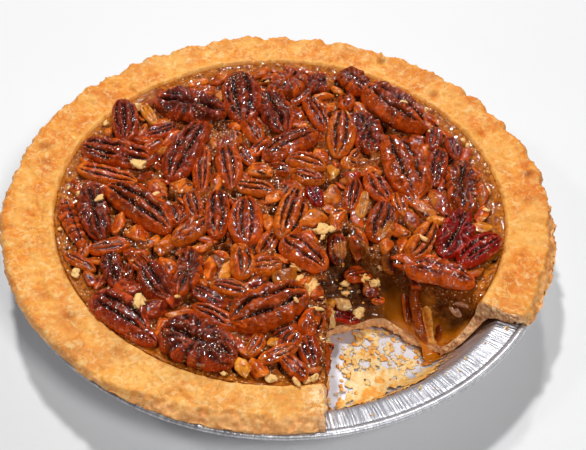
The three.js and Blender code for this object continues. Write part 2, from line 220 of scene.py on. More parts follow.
def above_foil(v):
    """Keeps loose bits inside the pan."""
    r = np.hypot(v[:, 0], v[:, 1])
    v[:, 2] = np.where(r < 98.6, np.maximum(v[:, 2], np.interp(r, FOIL_IN[:, 0], FOIL_IN[:, 1])), v[:, 2])
    return v


# ------------------------------------------------------------------ materials
def srgb(r, g, b):
    def lin(c):
        c /= 255.0
        return c / 12.92 if c <= 0.04045 else ((c + 0.055) / 1.055) ** 2.4
    return (lin(r), lin(g), lin(b))


class Mat:
    def __init__(self, name):
        self.m = bpy.data.materials.new(name)
        self.m.use_nodes = True
        self.nt = self.m.node_tree
        self.nt.nodes.clear()
        self.out = self.nt.nodes.new("ShaderNodeOutputMaterial")
        self.b = self.nt.nodes.new("ShaderNodeBsdfPrincipled")
        self.nt.links.new(self.b.outputs["BSDF"], self.out.inputs["Surface"])
        self.coord = self.nt.nodes.new("ShaderNodeTexCoord").outputs["Object"]

    def put(self, socket, value):
        if isinstance(value, bpy.types.NodeSocket):
            self.nt.links.new(value, socket)
        elif isinstance(value, (tuple, list)):
            socket.default_value = tuple(value) + ((1.0,) if len(value) == 3 and len(socket.default_value) == 4 else ())
        else:
            socket.default_value = value

    def set(self, **kw):
        for k, v in kw.items():
            self.put(self.b.inputs[k.replace("_", " ")], v)
        return self

    def node(self, kind, out, **inputs):
        n = self.nt.nodes.new(kind)
        for k, v in inputs.items():
            self.put(n.inputs[k.replace("_", " ")], v)
        return n.outputs[out]

    def noise(self, size_mm, detail=3.0, rough=0.55, vec=None, distortion=0.0):
        n = self.nt.nodes.new("ShaderNodeTexNoise")
        self.put(n.inputs["Vector"], vec or self.coord)
        n.inputs["Scale"].default_value = 1000.0 / size_mm
        n.inputs["Detail"].default_value = detail
        n.inputs["Roughness"].default_value = rough
        n.inputs["Distortion"].default_value = distortion
        return n.outputs["Fac"]

    def voronoi(self, size_mm, feature="F1", out="Distance", vec=None, rnd=1.0):
        n = self.nt.nodes.new("ShaderNodeTexVoronoi")
        n.feature = feature
        self.put(n.inputs["Vector"], vec or self.coord)
        n.inputs["Scale"].default_value = 1000.0 / size_mm
        n.inputs["Randomness"].default_value = rnd
        return n.outputs[out]

    def wobble(self, size_mm):
        """Coordinates pushed about, so that the cells come out uneven in size."""
        n = self.nt.nodes.new("ShaderNodeTexNoise")
        self.put(n.inputs["Vector"], self.coord)
        n.inputs["Scale"].default_value = 1000.0 / (size_mm * 2.6)
        n.inputs["Detail"].default_value = 0.0
        push = self.nt.nodes.new("ShaderNodeVectorMath")
        push.operation = "MULTIPLY_ADD"
        self.put(push.inputs[0], n.outputs["Color"])
        push.inputs[1].default_value = (size_mm * 1.3 * MM,) * 3
        self.put(push.inputs[2], self.coord)
        return push.outputs[0]

    def beads(self, size_mm, radius_mm):
        """Small domes, all with the same radius of curvature, as on a wet bubbly syrup."""
        d = self.voronoi(size_mm, vec=self.wobble(size_mm))
        dome = self.bump(self.math("SUBTRACT", 1.0, self.math("MULTIPLY", d, d)), size_mm * size_mm / (2 * radius_mm))
        return dome, self.span(d, 0.45, 0.35)

    def bubble_glint_specks(self, size_mm, edge, core):
        """Tiny pale dots of uneven size: tiny bubbles, and painted glints."""
        d = self.math("ADD", self.voronoi(size_mm), self.math("MULTIPLY", self.voronoi(size_mm, out="Color"), 0.16))
        return self.span(d, edge, core)

    def attr(self, name, out="Fac"):
        n = self.nt.nodes.new("ShaderNodeAttribute")
        n.attribute_name = name
        return n.outputs[out]

    def math(self, op, a, b=0.0, c=0.0, clamp=False):
        n = self.nt.nodes.new("ShaderNodeMath")
        n.operation = op
        n.use_clamp = clamp
        self.put(n.inputs[0], a)
        self.put(n.inputs[1], b)
        self.put(n.inputs[2], c)
        return n.outputs[0]

    def span(self, value, lo, hi, to_lo=0.0, to_hi=1.0):
        n = self.nt.nodes.new("ShaderNodeMapRange")
        n.clamp = True
        self.put(n.inputs["Value"], value)
        for k, v in (("From Min", lo), ("From Max", hi), ("To Min", to_lo), ("To Max", to_hi)):
            n.inputs[k].default_value = v
        return n.outputs["Result"]

    def mix(self, fac, a, b, blend="MIX"):
        n = self.nt.nodes.new("ShaderNodeMix")
        n.data_type = "RGBA"
        n.blend_type = blend
        n.clamp_factor = True
        self.put(n.inputs["Factor"], fac)
        self.put(n.inputs["A"] if False else n.inputs[6], a)
        self.put(n.inputs[7], b)
        return n.outputs[2]

    def ramp(self, fac, stops):
        n = self.nt.nodes.new("ShaderNodeValToRGB")
        self.put(n.inputs["Fac"], fac)
        e = n.color_ramp.elements
        while len(e) < len(stops):
            e.new(0.5)
        for k, (pos, col) in enumerate(stops):
            e[k].position = pos
            e[k].color = tuple(col) + (1.0,)
        return n.outputs["Color"]

    def bump(self, height, distance_mm, strength=1.0, normal=None):
        n = self.nt.nodes.new("ShaderNodeBump")
        n.inputs["Strength"].default_value = strength
        n.inputs["Distance"].default_value = distance_mm * MM
        self.put(n.inputs["Height"], height)
        if normal is not None:
            self.put(n.inputs["Normal"], normal)
        return n.outputs["Normal"]


def foil_material():
    m = Mat("foil")
    broad = m.noise(9, 2)
    fine = m.noise(0.7, 3, 0.6)
    dull = m.attr("dull")
    base = m.mix(m.span(broad, 0.35, 0.7), srgb(226, 225, 231), srgb(243, 243, 246))
    base = m.mix(m.math("MULTIPLY", dull, 0.8), base, srgb(218, 217, 226))
    # painted reflection: a brown tint on the pan's wall stands in for the crust reflected in it
    base = m.mix(m.math("MULTIPLY", m.attr("crust_reflection"), m.span(broad, 0.3, 0.6, 0.40, 0.75)), base, srgb(172, 140, 122))
    rough = m.math("ADD", m.span(fine, 0.3, 0.8, 0.27, 0.36), m.math("MULTIPLY", dull, 0.20))
    # fine creases that run across the rim: noise over the azimuth, long across it
    sep = m.nt.nodes.new("ShaderNodeSeparateXYZ")
    m.put(sep.inputs[0], m.coord)
    turn = m.math("ARCTAN2", sep.outputs[1], sep.outputs[0])
    cmb = m.nt.nodes.new("ShaderNodeCombineXYZ")
    m.put(cmb.inputs[0], m.math("MULTIPLY", turn, 0.104))
    m.put(cmb.inputs[1], m.math("MULTIPLY", sep.outputs[2], 0.05))
    cmb.inputs[2].default_value = 0.031
    crease = m.math("ABSOLUTE", m.math("SUBTRACT", m.noise(0.9, 2, 0.6, cmb.outputs[0]), 0.5))
    crease = m.span(crease, 0.0, 0.10)
    wall = m.math("SUBTRACT", 1.0, dull)
    n = m.bump(m.noise(2.2, 3), 0.10, 0.6)
    n = m.bump(fine, 0.03, 0.5, n)
    n = m.bump(m.math("MULTIPLY", crease, wall), 0.12, 0.7, n)
    # painted reflection: grey patches on the flat of the rim stand in for darker surroundings reflected in it
    base = m.mix(m.math("MULTIPLY", m.attr("grey_reflection"), 0.55), base, srgb(176, 176, 186))
    # painted shade: the fine crease lines on the wall are darkened
    base = m.mix(m.math("MULTIPLY", m.math("SUBTRACT", 1.0, crease), m.math("MULTIPLY", wall, 0.30)), base, srgb(120, 118, 126))
    # painted shade and reflection: near black in the pleat valleys, along the groove by the bead and over the left half
    # of the bead
    base = m.mix(m.math("MULTIPLY", m.attr("deep"), 0.85), base, srgb(58, 54, 60))
    metal = m.math("SUBTRACT", 0.55, m.math("MULTIPLY", dull, 0.25))
    m.set(Base_Color=base, Metallic=metal, Roughness=rough, Normal=n)
    return m.m


def crust_material():
    m = Mat("pastry")
    big = m.noise(24, 2, 0.5)
    mid = m.noise(7.0, 3, 0.55, distortion=0.8)
    fine = m.noise(1.6, 4, 0.62, distortion=0.4)
    grain = m.noise(0.5, 2, 0.6)
    pale, gold, toast = srgb(254, 188, 90), srgb(240, 142, 40), srgb(214, 108, 26)
    c = m.ramp(m.math("ADD", m.math("MULTIPLY", big, 0.45), m.math("MULTIPLY", mid, 0.55)),
               [(0.37, pale), (0.46, srgb(250, 166, 60)), (0.55, gold), (0.67, toast)])
    c = m.mix(m.math("MULTIPLY", m.span(fine, 0.52, 0.72), 0.40), c, srgb(254, 202, 120))
    c = m.mix(m.math("MULTIPLY", m.span(fine, 0.46, 0.32), 0.42), c, srgb(220, 132, 50))
    c = m.mix(m.math("MULTIPLY", m.span(m.noise(3.4, 3, 0.6, distortion=0.6), 0.54, 0.66), 0.45), c, srgb(255, 212, 138))
    vein = m.span(m.math("ABSOLUTE", m.math("SUBTRACT", m.noise(10.0, 4, 0.6, distortion=1.3), 0.5)), 0.022, 0.0)
    c = m.mix(m.math("MULTIPLY", vein, m.span(mid, 0.40, 0.60, 0.10, 0.50)), c, srgb(206, 124, 44))
    flake = m.math("MULTIPLY", m.span(m.voronoi(5.5, "SMOOTH_F1"), 0.42, 0.30), m.span(m.noise(15, 2), 0.50, 0.62))
    c = m.mix(m.math("MULTIPLY", flake, 0.35), c, srgb(255, 216, 146))
    crisp = m.noise(4.4, 5, 0.66, distortion=1.4)
    c = m.mix(m.math("MULTIPLY", m.span(crisp, 0.54, 0.58), 0.55), c, srgb(255, 214, 140))
    c = m.mix(m.math("MULTIPLY", m.span(m.noise(6.0, 5, 0.66, distortion=1.4), 0.46, 0.42), 0.55), c, srgb(230, 134, 42))
    # toasted browning, and painted shade on one flank of each flute
    c = m.mix(m.math("MULTIPLY", m.attr("brown"), 0.62), c, srgb(210, 118, 36))
    # scorched spots, and painted shade along the lower outer edge of the rim and under it
    c = m.mix(m.math("MULTIPLY", m.attr("burnt"), 0.85), c, srgb(140, 68, 20))
    # deeper in colour at the left and right, paler in front: partly a deeper bake at the sides, partly painted shade
    # there and painted light on the front
    sep = m.nt.nodes.new("ShaderNodeSeparateXYZ")
    m.put(sep.inputs[0], m.coord)
    flank_bake_and_shade = m.span(m.math("ABSOLUTE", sep.outputs[0]), 0.045, 0.092)
    front = m.span(sep.outputs[1], -0.035, -0.080)
    flank_bake_and_shade = m.math("MULTIPLY", flank_bake_and_shade, m.math("SUBTRACT", 1.0, front))
    c = m.mix(flank_bake_and_shade, c, m.mix(1.0, c, (0.95, 0.84, 0.64), "MULTIPLY"))
    c = m.mix(m.math("MULTIPLY", front, 0.20), c, srgb(255, 206, 112))
    torn = m.math("MULTIPLY", m.span(sep.outputs[0], 0.010, 0.016), m.span(sep.outputs[1], -0.080, -0.086))
    torn = m.math("MULTIPLY", torn, m.span(sep.outputs[0], 0.021, 0.020))
    c = m.mix(m.math("MULTIPLY", torn, m.span(fine, 0.44, 0.56)), c, srgb(255, 228, 176))
    c = m.mix(m.math("MULTIPLY", m.attr("lip"), 0.8), c, m.mix(m.span(fine, 0.35, 0.65), srgb(254, 198, 106), srgb(246, 172, 74)))
    blotch = m.noise(3.2, 4, 0.62, distortion=1.0)
    c = m.mix(m.math("MULTIPLY", m.span(blotch, 0.57, 0.62), 0.45), c, srgb(255, 220, 154))
    c = m.mix(m.math("MULTIPLY", m.span(blotch, 0.42, 0.37), 0.45), c, srgb(222, 122, 38))
    side = m.mix(m.span(mid, 0.38, 0.62), srgb(240, 176, 108), srgb(216, 144, 80))
    side = m.mix(m.math("MULTIPLY", m.span(fine, 0.50, 0.66), 0.6), side, srgb(253, 208, 142))
    side = m.mix(m.math("MULTIPLY", m.span(fine, 0.42, 0.30), 0.5), side, srgb(196, 122, 62))
    c = m.mix(m.attr("side"), c, side)
    cut = m.mix(m.span(fine, 0.38, 0.62), srgb(255, 208, 154), srgb(228, 162, 112))
    cut = m.mix(m.math("MULTIPLY", m.span(m.noise(2.6, 3, 0.6), 0.50, 0.62), 0.6), cut, srgb(196, 124, 76))
    cut = m.mix(m.math("MULTIPLY", m.span(grain, 0.50, 0.66), 0.6), cut, srgb(255, 222, 168))
    c = m.mix(m.attr("cut"), c, cut)
    c = m.mix(m.math("MULTIPLY", m.attr("glaze"), 0.8), c, srgb(206, 116, 22))
    c = m.mix(m.math("MULTIPLY", m.span(grain, 0.60, 0.8), 0.18), c, srgb(190, 112, 44))
    rough = m.math("SUBTRACT", m.span(fine, 0.3, 0.7, 0.50, 0.70), m.math("MULTIPLY", m.attr("glaze"), 0.38))
    n = m.bump(mid, 0.60, 0.6)
    n = m.bump(crisp, 0.50, 0.7, n)
    n = m.bump(blotch, 0.25, 0.6, n)
    n = m.bump(fine, 0.24, 0.8, n)
    n = m.bump(grain, 0.08, 0.7, n)
    m.set(Base_Color=c, Roughness=rough, Normal=n, Specular_IOR_Level=0.3)
    return m.m


def filling_material():
    m = Mat("caramel")
    big = m.noise(11, 3, 0.6)
    mid = m.noise(2.6, 4, 0.65)
    fine = m.noise(0.8, 3, 0.6)
    bub = m.voronoi(1.1, "SMOOTH_F1")
    deep, amber, tan = srgb(46, 14, 3), srgb(128, 54, 8), srgb(182, 104, 38)
    c = m.ramp(m.math("ADD", m.math("MULTIPLY", big, 0.4), m.math("MULTIPLY", mid, 0.6)),
               [(0.38, deep), (0.49, amber), (0.58, srgb(150, 74, 16)), (0.70, tan)])
    c = m.mix(m.math("MULTIPLY", m.span(fine, 0.55, 0.8), 0.45), c, srgb(196, 128, 64))
    c = m.mix(m.math("MULTIPLY", m.span(bub, 0.34, 0.14), m.span(mid, 0.42, 0.56, 0.0, 0.75)), c, srgb(226, 158, 84))
    # pale specks: tiny bubbles, and painted glints
    bubbles_and_glints = m.math("MULTIPLY", m.bubble_glint_specks(1.3, 0.38, 0.24), m.span(m.noise(4.5, 3, 0.6), 0.44, 0.52))
    c = m.mix(m.math("MULTIPLY", bubbles_and_glints, 0.92), c, srgb(255, 226, 190))
    c = m.mix(m.span(m.attr("ring"), 0.25, 0.95, 0.0, 0.9), c, m.mix(m.span(mid, 0.38, 0.62), srgb(206, 118, 24), srgb(130, 58, 8)))
    c = m.mix(m.math("MULTIPLY", m.math("MULTIPLY", bubbles_and_glints, m.attr("ring")), 0.6), c, srgb(255, 224, 170))
    # painted light and shade on the slumped face: lighter where it is lit, darker under the overhanging nuts
    slump = m.mix(m.span(big, 0.35, 0.7), srgb(98, 50, 4), srgb(134, 74, 10))
    slump = m.mix(m.attr("painted_light"), slump, srgb(226, 132, 14))
    slump = m.mix(m.math("MULTIPLY", m.attr("painted_shade"), m.span(m.noise(7.0, 3, 0.6), 0.36, 0.56, 0.35, 1.0)), slump, srgb(54, 21, 2))
    c = m.mix(m.attr("slump"), c, slump)
    c = m.mix(m.attr("jelly"), c, m.mix(m.span(mid, 0.35, 0.65), srgb(62, 28, 12), srgb(124, 72, 36)))
    # painted shade: the holes and the sunken gaps along the nuts are coloured near black
    c = m.mix(m.attr("hole_and_shade"), c, srgb(14, 5, 2))
    soft = m.math("MAXIMUM", m.attr("slump"), m.attr("jelly"))
    n = m.bump(mid, 1.1, 0.6)
    n = m.bump(bub, 0.50, 0.8, n)
    n = m.bump(fine, 0.30, 0.6, n)
    n2 = m.bump(m.noise(5, 3, 0.6), 1.2, 0.3)
    node = m.nt.nodes.new("ShaderNodeMix")
    node.data_type = "VECTOR"
    m.put(node.inputs[0], soft)
    m.put(node.inputs[4], n)
    m.put(node.inputs[5], n2)
    rough = m.math("SUBTRACT", m.span(mid, 0.3, 0.7, 0.12, 0.26), m.math("MULTIPLY", soft, 0.06))
    rough = m.math("ADD", rough, 0.12)
    beads, crown = m.beads(2.1, 2.9)
    calm = m.bump(m.noise(6.0, 2, 0.5), 0.6, 0.5)
    coat = m.nt.nodes.new("ShaderNodeMix")
    coat.data_type = "VECTOR"
    m.put(coat.inputs[0], m.math("MULTIPLY", m.math("SUBTRACT", m.attr("slump"), m.attr("jelly")), m.math("SUBTRACT", 1.0, m.attr("painted_shade"))))
    m.put(coat.inputs[4], beads)
    m.put(coat.inputs[5], calm)
    wet = m.math("MAXIMUM", m.span(m.noise(4.0, 3, 0.6), 0.40, 0.50), m.attr("jelly"))
    wet = m.math("MULTIPLY", wet, m.math("MAXIMUM", crown, m.math("SUBTRACT", m.attr("slump"), m.attr("jelly"))))
    wet = m.math("MULTIPLY", wet, m.math("SUBTRACT", 1.0, m.math("MULTIPLY", m.attr("slump"), 0.35)))
    wet = m.math("MULTIPLY", wet, m.math("SUBTRACT", 1.0, m.math("MULTIPLY", m.attr("painted_shade"), 0.85)))
    wet = m.math("MULTIPLY", wet, m.math("SUBTRACT", 1.0, m.math("MULTIPLY", m.attr("jelly"), 0.4)))
    m.set(Base_Color=c, Roughness=rough, Normal=node.outputs[1], Specular_IOR_Level=0.05, Coat_Weight=wet, Coat_Roughness=0.08,
          Coat_IOR=2.3, Coat_Normal=coat.outputs[1])
    return m.m


def nut_material():
    m = Mat("pecan")
    low, high = m.attr("tint", "Color"), m.attr("tint2", "Color")
    mid = m.noise(4.5, 4, 0.62, distortion=0.4)
    spot = m.noise(1.5, 3, 0.6)
    grain = m.noise(0.55, 3, 0.6)
    share = m.math("ADD", m.math("MULTIPLY", m.attr("rim"), 0.72), m.span(mid, 0.42, 0.70, -0.15, 0.80), clamp=True)
    c = m.mix(share, low, high)
    c = m.mix(m.span(spot, 0.50, 0.68, 0.0, 0.75), c, m.mix(1.0, c, (0.42, 0.26, 0.22), "MULTIPLY"))
    c = m.mix(m.math("MULTIPLY", m.attr("dull"), m.span(spot, 0.3, 0.7, 0.1, 0.5)), c, srgb(70, 22, 12))
    # darker in the grooves and creases: partly the darker skin there, partly painted shade
    c = m.mix(m.span(m.attr("dark"), 0.04, 0.70, 0.0, 0.93), c, srgb(32, 7, 2))
    flesh = m.mix(m.span(spot, 0.35, 0.65), srgb(224, 138, 48), srgb(176, 84, 20))
    c = m.mix(m.math("MULTIPLY", m.attr("pale"), 0.85), c, flesh)
    # syrup lies in patches and along the grooves, with pale specks in it: tiny bubbles, and painted glints
    clump = m.noise(6.5, 3, 0.6)
    wet = m.math("MAXIMUM", m.span(clump, 0.41, 0.50), m.math("MULTIPLY", m.attr("dark"), 0.8))
    near = m.math("ADD", m.noise(6.0, 3, 0.6), m.math("MULTIPLY", m.attr("dark"), 0.10))
    bubbles_and_glints = m.math("MULTIPLY", m.bubble_glint_specks(1.15, 0.36, 0.20), m.span(near, 0.52, 0.60))
    c = m.mix(m.math("MULTIPLY", bubbles_and_glints, 0.85), c, srgb(252, 214, 174))
    rough = m.math("ADD", m.span(mid, 0.3, 0.75, 0.13, 0.24), m.math("MULTIPLY", m.attr("dull"), 0.20))
    n = m.bump(spot, 0.26, 0.5)
    n = m.bump(grain, 0.08, 0.5, n)
    beads, crown = m.beads(2.3, 3.2)
    m.set(Base_Color=c, Roughness=rough, Normal=n, Specular_IOR_Level=0.16, Coat_Weight=m.math("MULTIPLY", wet, crown),
          Coat_Roughness=0.08, Coat_IOR=2.4, Coat_Normal=beads)
    return m.m


def crumb_material():
    m = Mat("crumb")
    tone = m.attr("tone")
    fine = m.noise(0.9, 3, 0.6)
    c = m.ramp(tone, [(0.0, srgb(255, 234, 186)), (0.25, srgb(255, 218, 148)), (0.48, srgb(255, 192, 92)), (0.62, srgb(248, 160, 54)), (0.74, srgb(176, 98, 36)),
                      (0.82, srgb(236, 170, 88)), (1.0, srgb(255, 216, 144))])
    c = m.mix(m.math("MULTIPLY", m.span(fine, 0.5, 0.8), 0.4), c, srgb(255, 230, 176))
    n = m.bump(m.noise(2.2, 3, 0.6), 0.4, 0.6)
    n = m.bump(fine, 0.2, 0.7, n)
    m.set(Base_Color=c, Roughness=0.75, Normal=n, Specular_IOR_Level=0.3)
    return m.m


def syrup_material():
    m = Mat("syrup")
    big = m.noise(6, 2)
    c = m.mix(m.span(big, 0.35, 0.7), srgb(242, 150, 18), srgb(222, 124, 8))
    m.set(Base_Color=c, Roughness=0.24, Coat_Weight=0.8, Coat_Roughness=0.05, Specular_IOR_Level=0.2,
          Subsurface_Weight=0.15, Subsurface_Radius=(0.004, 0.0015, 0.0004))
    return m.m


FOIL, PASTRY, CARAMEL, PECAN, CRUMB, SYRUP = (
    foil_material(), crust_material(), filling_material(), nut_material(), crumb_material(), syrup_material())


# ------------------------------------------------------------------ shared outlines
def toe_y(x):
    return np.interp(x, TOE[:, 0], TOE[:, 1])


def head_y(x):
    x = np.asarray(x, float)
    return HEAD_Y0 + HEAD_SLOPE * np.maximum(0, x - HEAD_X0) - 1.1 * np.sin(x * 0.23) + 0.7 * np.sin(x * 0.61 + 1)


def rim_r(a):
    """Outer radius of the crust's rim and height of its top outer edge, for azimuth a."""
    strength = 0.35 + 0.65 * smooth(-0.35, 0.55, np.sin(a + 0.35))
    slow = 0.4 * np.sin(3 * a + 0.4) + 0.35 * np.sin(7 * a + 2.0) + 0.3 * np.sin(13 * a + 4.0)
    r = 111.3 + 1.05 * np.cos(2 * a + 0.29) - 0.65 * np.sin(3 * a) - 0.35 * np.cos(a) + 0.4 * slow
    z = 33.3 + 0.7 * np.sin(a) + 0.5 * np.sin(2 * a + 1.2) + 0.4 * slow
    return r, z, strength


# ------------------------------------------------------------------ foil pan
def build_pan():
    n = 1000
    t = np.linspace(0, 1, 4001)
    near = np.exp(-(((t * 360 - 306 + 180) % 360 - 180) / 34) ** 4)
    run = np.concatenate([[0], np.cumsum(0.62 + 1.75 * near[:-1])])
    a = np.interp(np.arange(n) / n, run / run[-1], t) * TAU
    # centre line of the sheet: radius, height, share of pleating, share of knurl, dullness
    line = np.array([
        (0.0, 0.20, 0, 0, 1), (20, 0.20, 0, 0, 1), (45, 0.20, 0, 0, 1), (64, 0.20, 0, 0, 1), (76, 0.20, 0, 0, 1), (81.2, 0.25, 0, 0, .9),
        (83.6, 0.9, .10, 0, .8), (85.4, 2.2, .2, 0, .6), (86.9, 4.2, .4, 0, .5), (89.6, 9.2, .55, 0, .5), (92.4, 14.2, .6, 0, .5),
        (95.2, 19.0, .6, 0, .5), (97.8, 23.2, .6, 0, .4), (99.1, 25.1, .65, 0, .3), (99.9, 25.75, .8, 0, .1), (100.8, 25.98, 1, 0, 0),
        (102.4, 26.25, 1, 0, 0), (104.2, 26.55, 1, 0, 0), (106.0, 26.9, 1, 0, 0), (107.2, 27.15, .8, 0, 0), (107.9, 27.15, .2, .1, 0),
        (108.35, 27.5, .05, .3, 0), (108.8, 28.1, 0, .8, 0), (109.6, 28.45, 0, 1, 0), (110.4, 28.3, 0, 1, 0), (110.95, 27.7, 0, 1, 0),
        (110.9, 27.0, 0, .8, 0), (110.3, 26.6, 0, .3, 0)])
    r0, z0 = line[:, 0], line[:, 1]
    dr, dz = np.gradient(r0), np.gradient(z0)
    ln = np.hypot(dr, dz)
    nr, nz = -dz / ln, dr / ln            # towards the inside and up
    t = smooth(82, 107, r0)
    shelf = smooth(99.0, 100.4, r0) * smooth(107.8, 106.8, r0)
    A, T = np.meshgrid(a, t)
    P = np.stack([np.cos(A).ravel() * 58, np.sin(A).ravel() * 58, T.ravel() * 2.6], -1)
    slant = 0.010 * np.sin(5 * A) * T
    A2 = A + slant
    Q = np.stack([np.cos(A2).ravel() * 55, np.sin(A2).ravel() * 55, T.ravel() * 1.6], -1)
    # pressed pleats: sharp folds at uneven distances, each with its own depth
    step = A2 * 150 + 1.1 * noise(Q * 0.45, 1.0, 3).reshape(A.shape) + 0.5 * noise(Q, 1.0, 5).reshape(A.shape)
    tri = 1 - np.abs((step % 2) - 1) * 2
    tri2 = 1 - np.abs(((step * 1.618 + 0.4) % 2) - 1) * 2
    share = 0.5 + 0.5 * noise(Q * 0.7, 1.0, 9).reshape(A.shape)
    big = noise(Q * 0.33, 1.0, 8).reshape(A.shape)
    fold = tri
    d = 0.34 * tri * (0.4 + share) + 0.10 * tri2 + 0.20 * big
    d = d * line[:, 2][:, None]
    # painted shade in the valleys of the pleats
    valley_shade = smooth(-0.55, -0.98, fold + 0.25 * (1 - share)) * shelf[:, None]
    # painted shade along the groove by the bead
    groove = np.exp(-((r0 - 108.0) / 0.35) ** 2)[:, None] + 0 * A
    # painted reflection: grey patches on the flat of the rim
    reflection_patch = np.clip(0.5 + 0.5 * noise(Q * 1.3 + 9, 1.0, 14).reshape(A.shape), 0, 1) * shelf[:, None]
    # painted reflection: the bead is darkened over its left half
    bead_dark_reflection = smooth(107.7, 108.4, r0)[:, None] * smooth(0.25, -0.35, np.cos(A)) * (0.45 + 0.55 * np.clip(0.5 + 1.2 * noise(Q * 2.6, 1.0, 17), 0, 1).reshape(A.shape))
    knurl = noise(np.stack([np.cos(A).ravel() * 80, np.sin(A).ravel() * 80, np.zeros(A.size)], -1), 1.0, 21).reshape(A.shape)
    d = d + 0.03 * knurl * line[:, 3][:, None]
    # dents and creases of the floor
    flat = np.stack([(r0[:, None] * np.cos(A)).ravel(), (r0[:, None] * np.sin(A)).ravel(), np.zeros(A.size)], -1)
    sag = 0.16 * fbm(flat, 0.05, 3, 31).reshape(A.shape) * smooth(80, 60, r0)[:, None]
    bag = Bag()
    rows = len(r0)
    half = 0.15
    bags = []
    for side in (1, -1):
        # a slow, slightly uneven roundness of a handled foil pan
        oval = 1 + 0.0025 * np.cos(2 * A + 0.7)
        R = (r0[:, None] + nr[:, None] * (d + side * half)) * oval
        Z = z0[:, None] + nz[:, None] * (d * 0.9 + side * half)
        if side == 1:
            Z = Z + np.maximum(sag, 0)
        else:
            Z = np.where(r0[:, None] < 81, np.maximum(Z, 0.02 + 0 * Z), Z)
        X, Y = R * np.cos(A), R * np.sin(A)
        v = np.stack([X.ravel(), Y.ravel(), np.maximum(Z.ravel(), 0.0)], -1)
        v = v[n - 1:]                      # the first ring is one point
        v[0] = (0, 0, z0[0] + side * half)
        dull = np.repeat(line[:, 4], n)[n - 1:]
        deep = np.clip(valley_shade + 0.9 * groove + 0.75 * bead_dark_reflection, 0, 1).ravel()[n - 1:]
        grey_reflection = reflection_patch.ravel()[n - 1:]
        cols = np.arange(n)
        tri = np.stack([np.zeros(n, int), 1 + cols, 1 + (cols + 1) % n], -1)
        q = grid_faces(rows - 1, n, wrap=True, offset=1, flip=(side == 1))
        if side == 1:
            q = q[:, ::-1]
        else:
            tri = tri[:, ::-1]
            q = q[:, ::-1]
        # painted reflection: the brown of the crust on the inside of the wall
        crust_reflection = np.repeat(smooth(84.5, 87.5, r0) * smooth(100.3, 99.4, r0), n)[n - 1:] * (1.0 if side == 1 else 0.0)
        bags.append((v, tri, q, dict(dull=dull, deep=deep, grey_reflection=grey_reflection, crust_reflection=crust_reflection)))
    top, low = bags
    bag.add(top[0], top[2], top[1], **top[3])
    off = bag.add(low[0], low[2], low[1], **low[3])
    m = len(top[0])
    last = np.arange(n) + m - n
    nxt = (np.arange(n) + 1) % n + m - n
    bag.q.append(np.stack([last, last + off, nxt + off, nxt], -1))
    obj = bag.build("foil_pan", FOIL)
    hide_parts("pan")
    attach(obj, "root")


# ------------------------------------------------------------------ crust
def rim_flute(a, r):
    """Height of the pinched flutes on the rim, about -1..1: slanted saw-like waves."""
    lean = 0.30 + 0.9 * np.sin(a * 0.5 + 0.6) ** 2
    # evenly pinched at the back, less so elsewhere
    d = np.degrees(a)
    free = 1 - 0.9 * smooth(22, 40, d) * smooth(125, 108, d)
    phase = 45.8 * a + 2.2 + lean * (r - 101) * 0.16 + free * (1.1 * np.sin(5 * a + 1) + 0.8 * np.sin(11 * a))
    s = np.sin(phase) + 0.28 * np.sin(2 * phase + 0.9)
    amp = 0.62 + 0.38 * np.sin(9 * a + 1.3 * np.sin(4 * a + 2)) * np.sin(5 * a + 0.7)
    return s * amp / 1.2, phase


# where the top layer of the rim ends and its paler, crumbly side begins: azimuth in degrees and radius
FOLD = np.array([
    (-36, 108.3), (-23, 108.1), (-15, 108.3), (-6, 108.9), (5, 109.8), (15, 111.2), (25, 113), (214, 113), (226, 111.2), (232, 110.2),
    (239, 109.2), (245, 107.3), (251, 105.4), (263, 104.6), (272, 104.0), (284, 103.2)])
CRACKS = [(-108.0, 1.9, -104.4, 0.4), (-97.9, -3.9, -91.3, -4.1), (-76.1, -64.9, -73.4, -63.8), (-35.0, -91.7, -31.6, -97.4),
          (-101.2, -20.4, -94.4, -22.7), (89.4, -52.2, 91.9, -53.5), (-44.1, -79.8, -38.8, -85.8), (6.8, -101.8, 16.5, -100.3),
          (-10.7, -98.9, -2.8, -102.7), (-29.4, -99.0, -17.3, -102.6), (-68.1, -78.3, -62.7, -85.2), (88.2, -15.6, 92.4, -20.8),
          (80.4, 34.8, 86.8, 30.1), (-31.6, -97.4, -26.0, -98.6), (-96.5, 33.0, -91.0, 30.2), (-60.5, 79.5, -56.0, 75.0)]


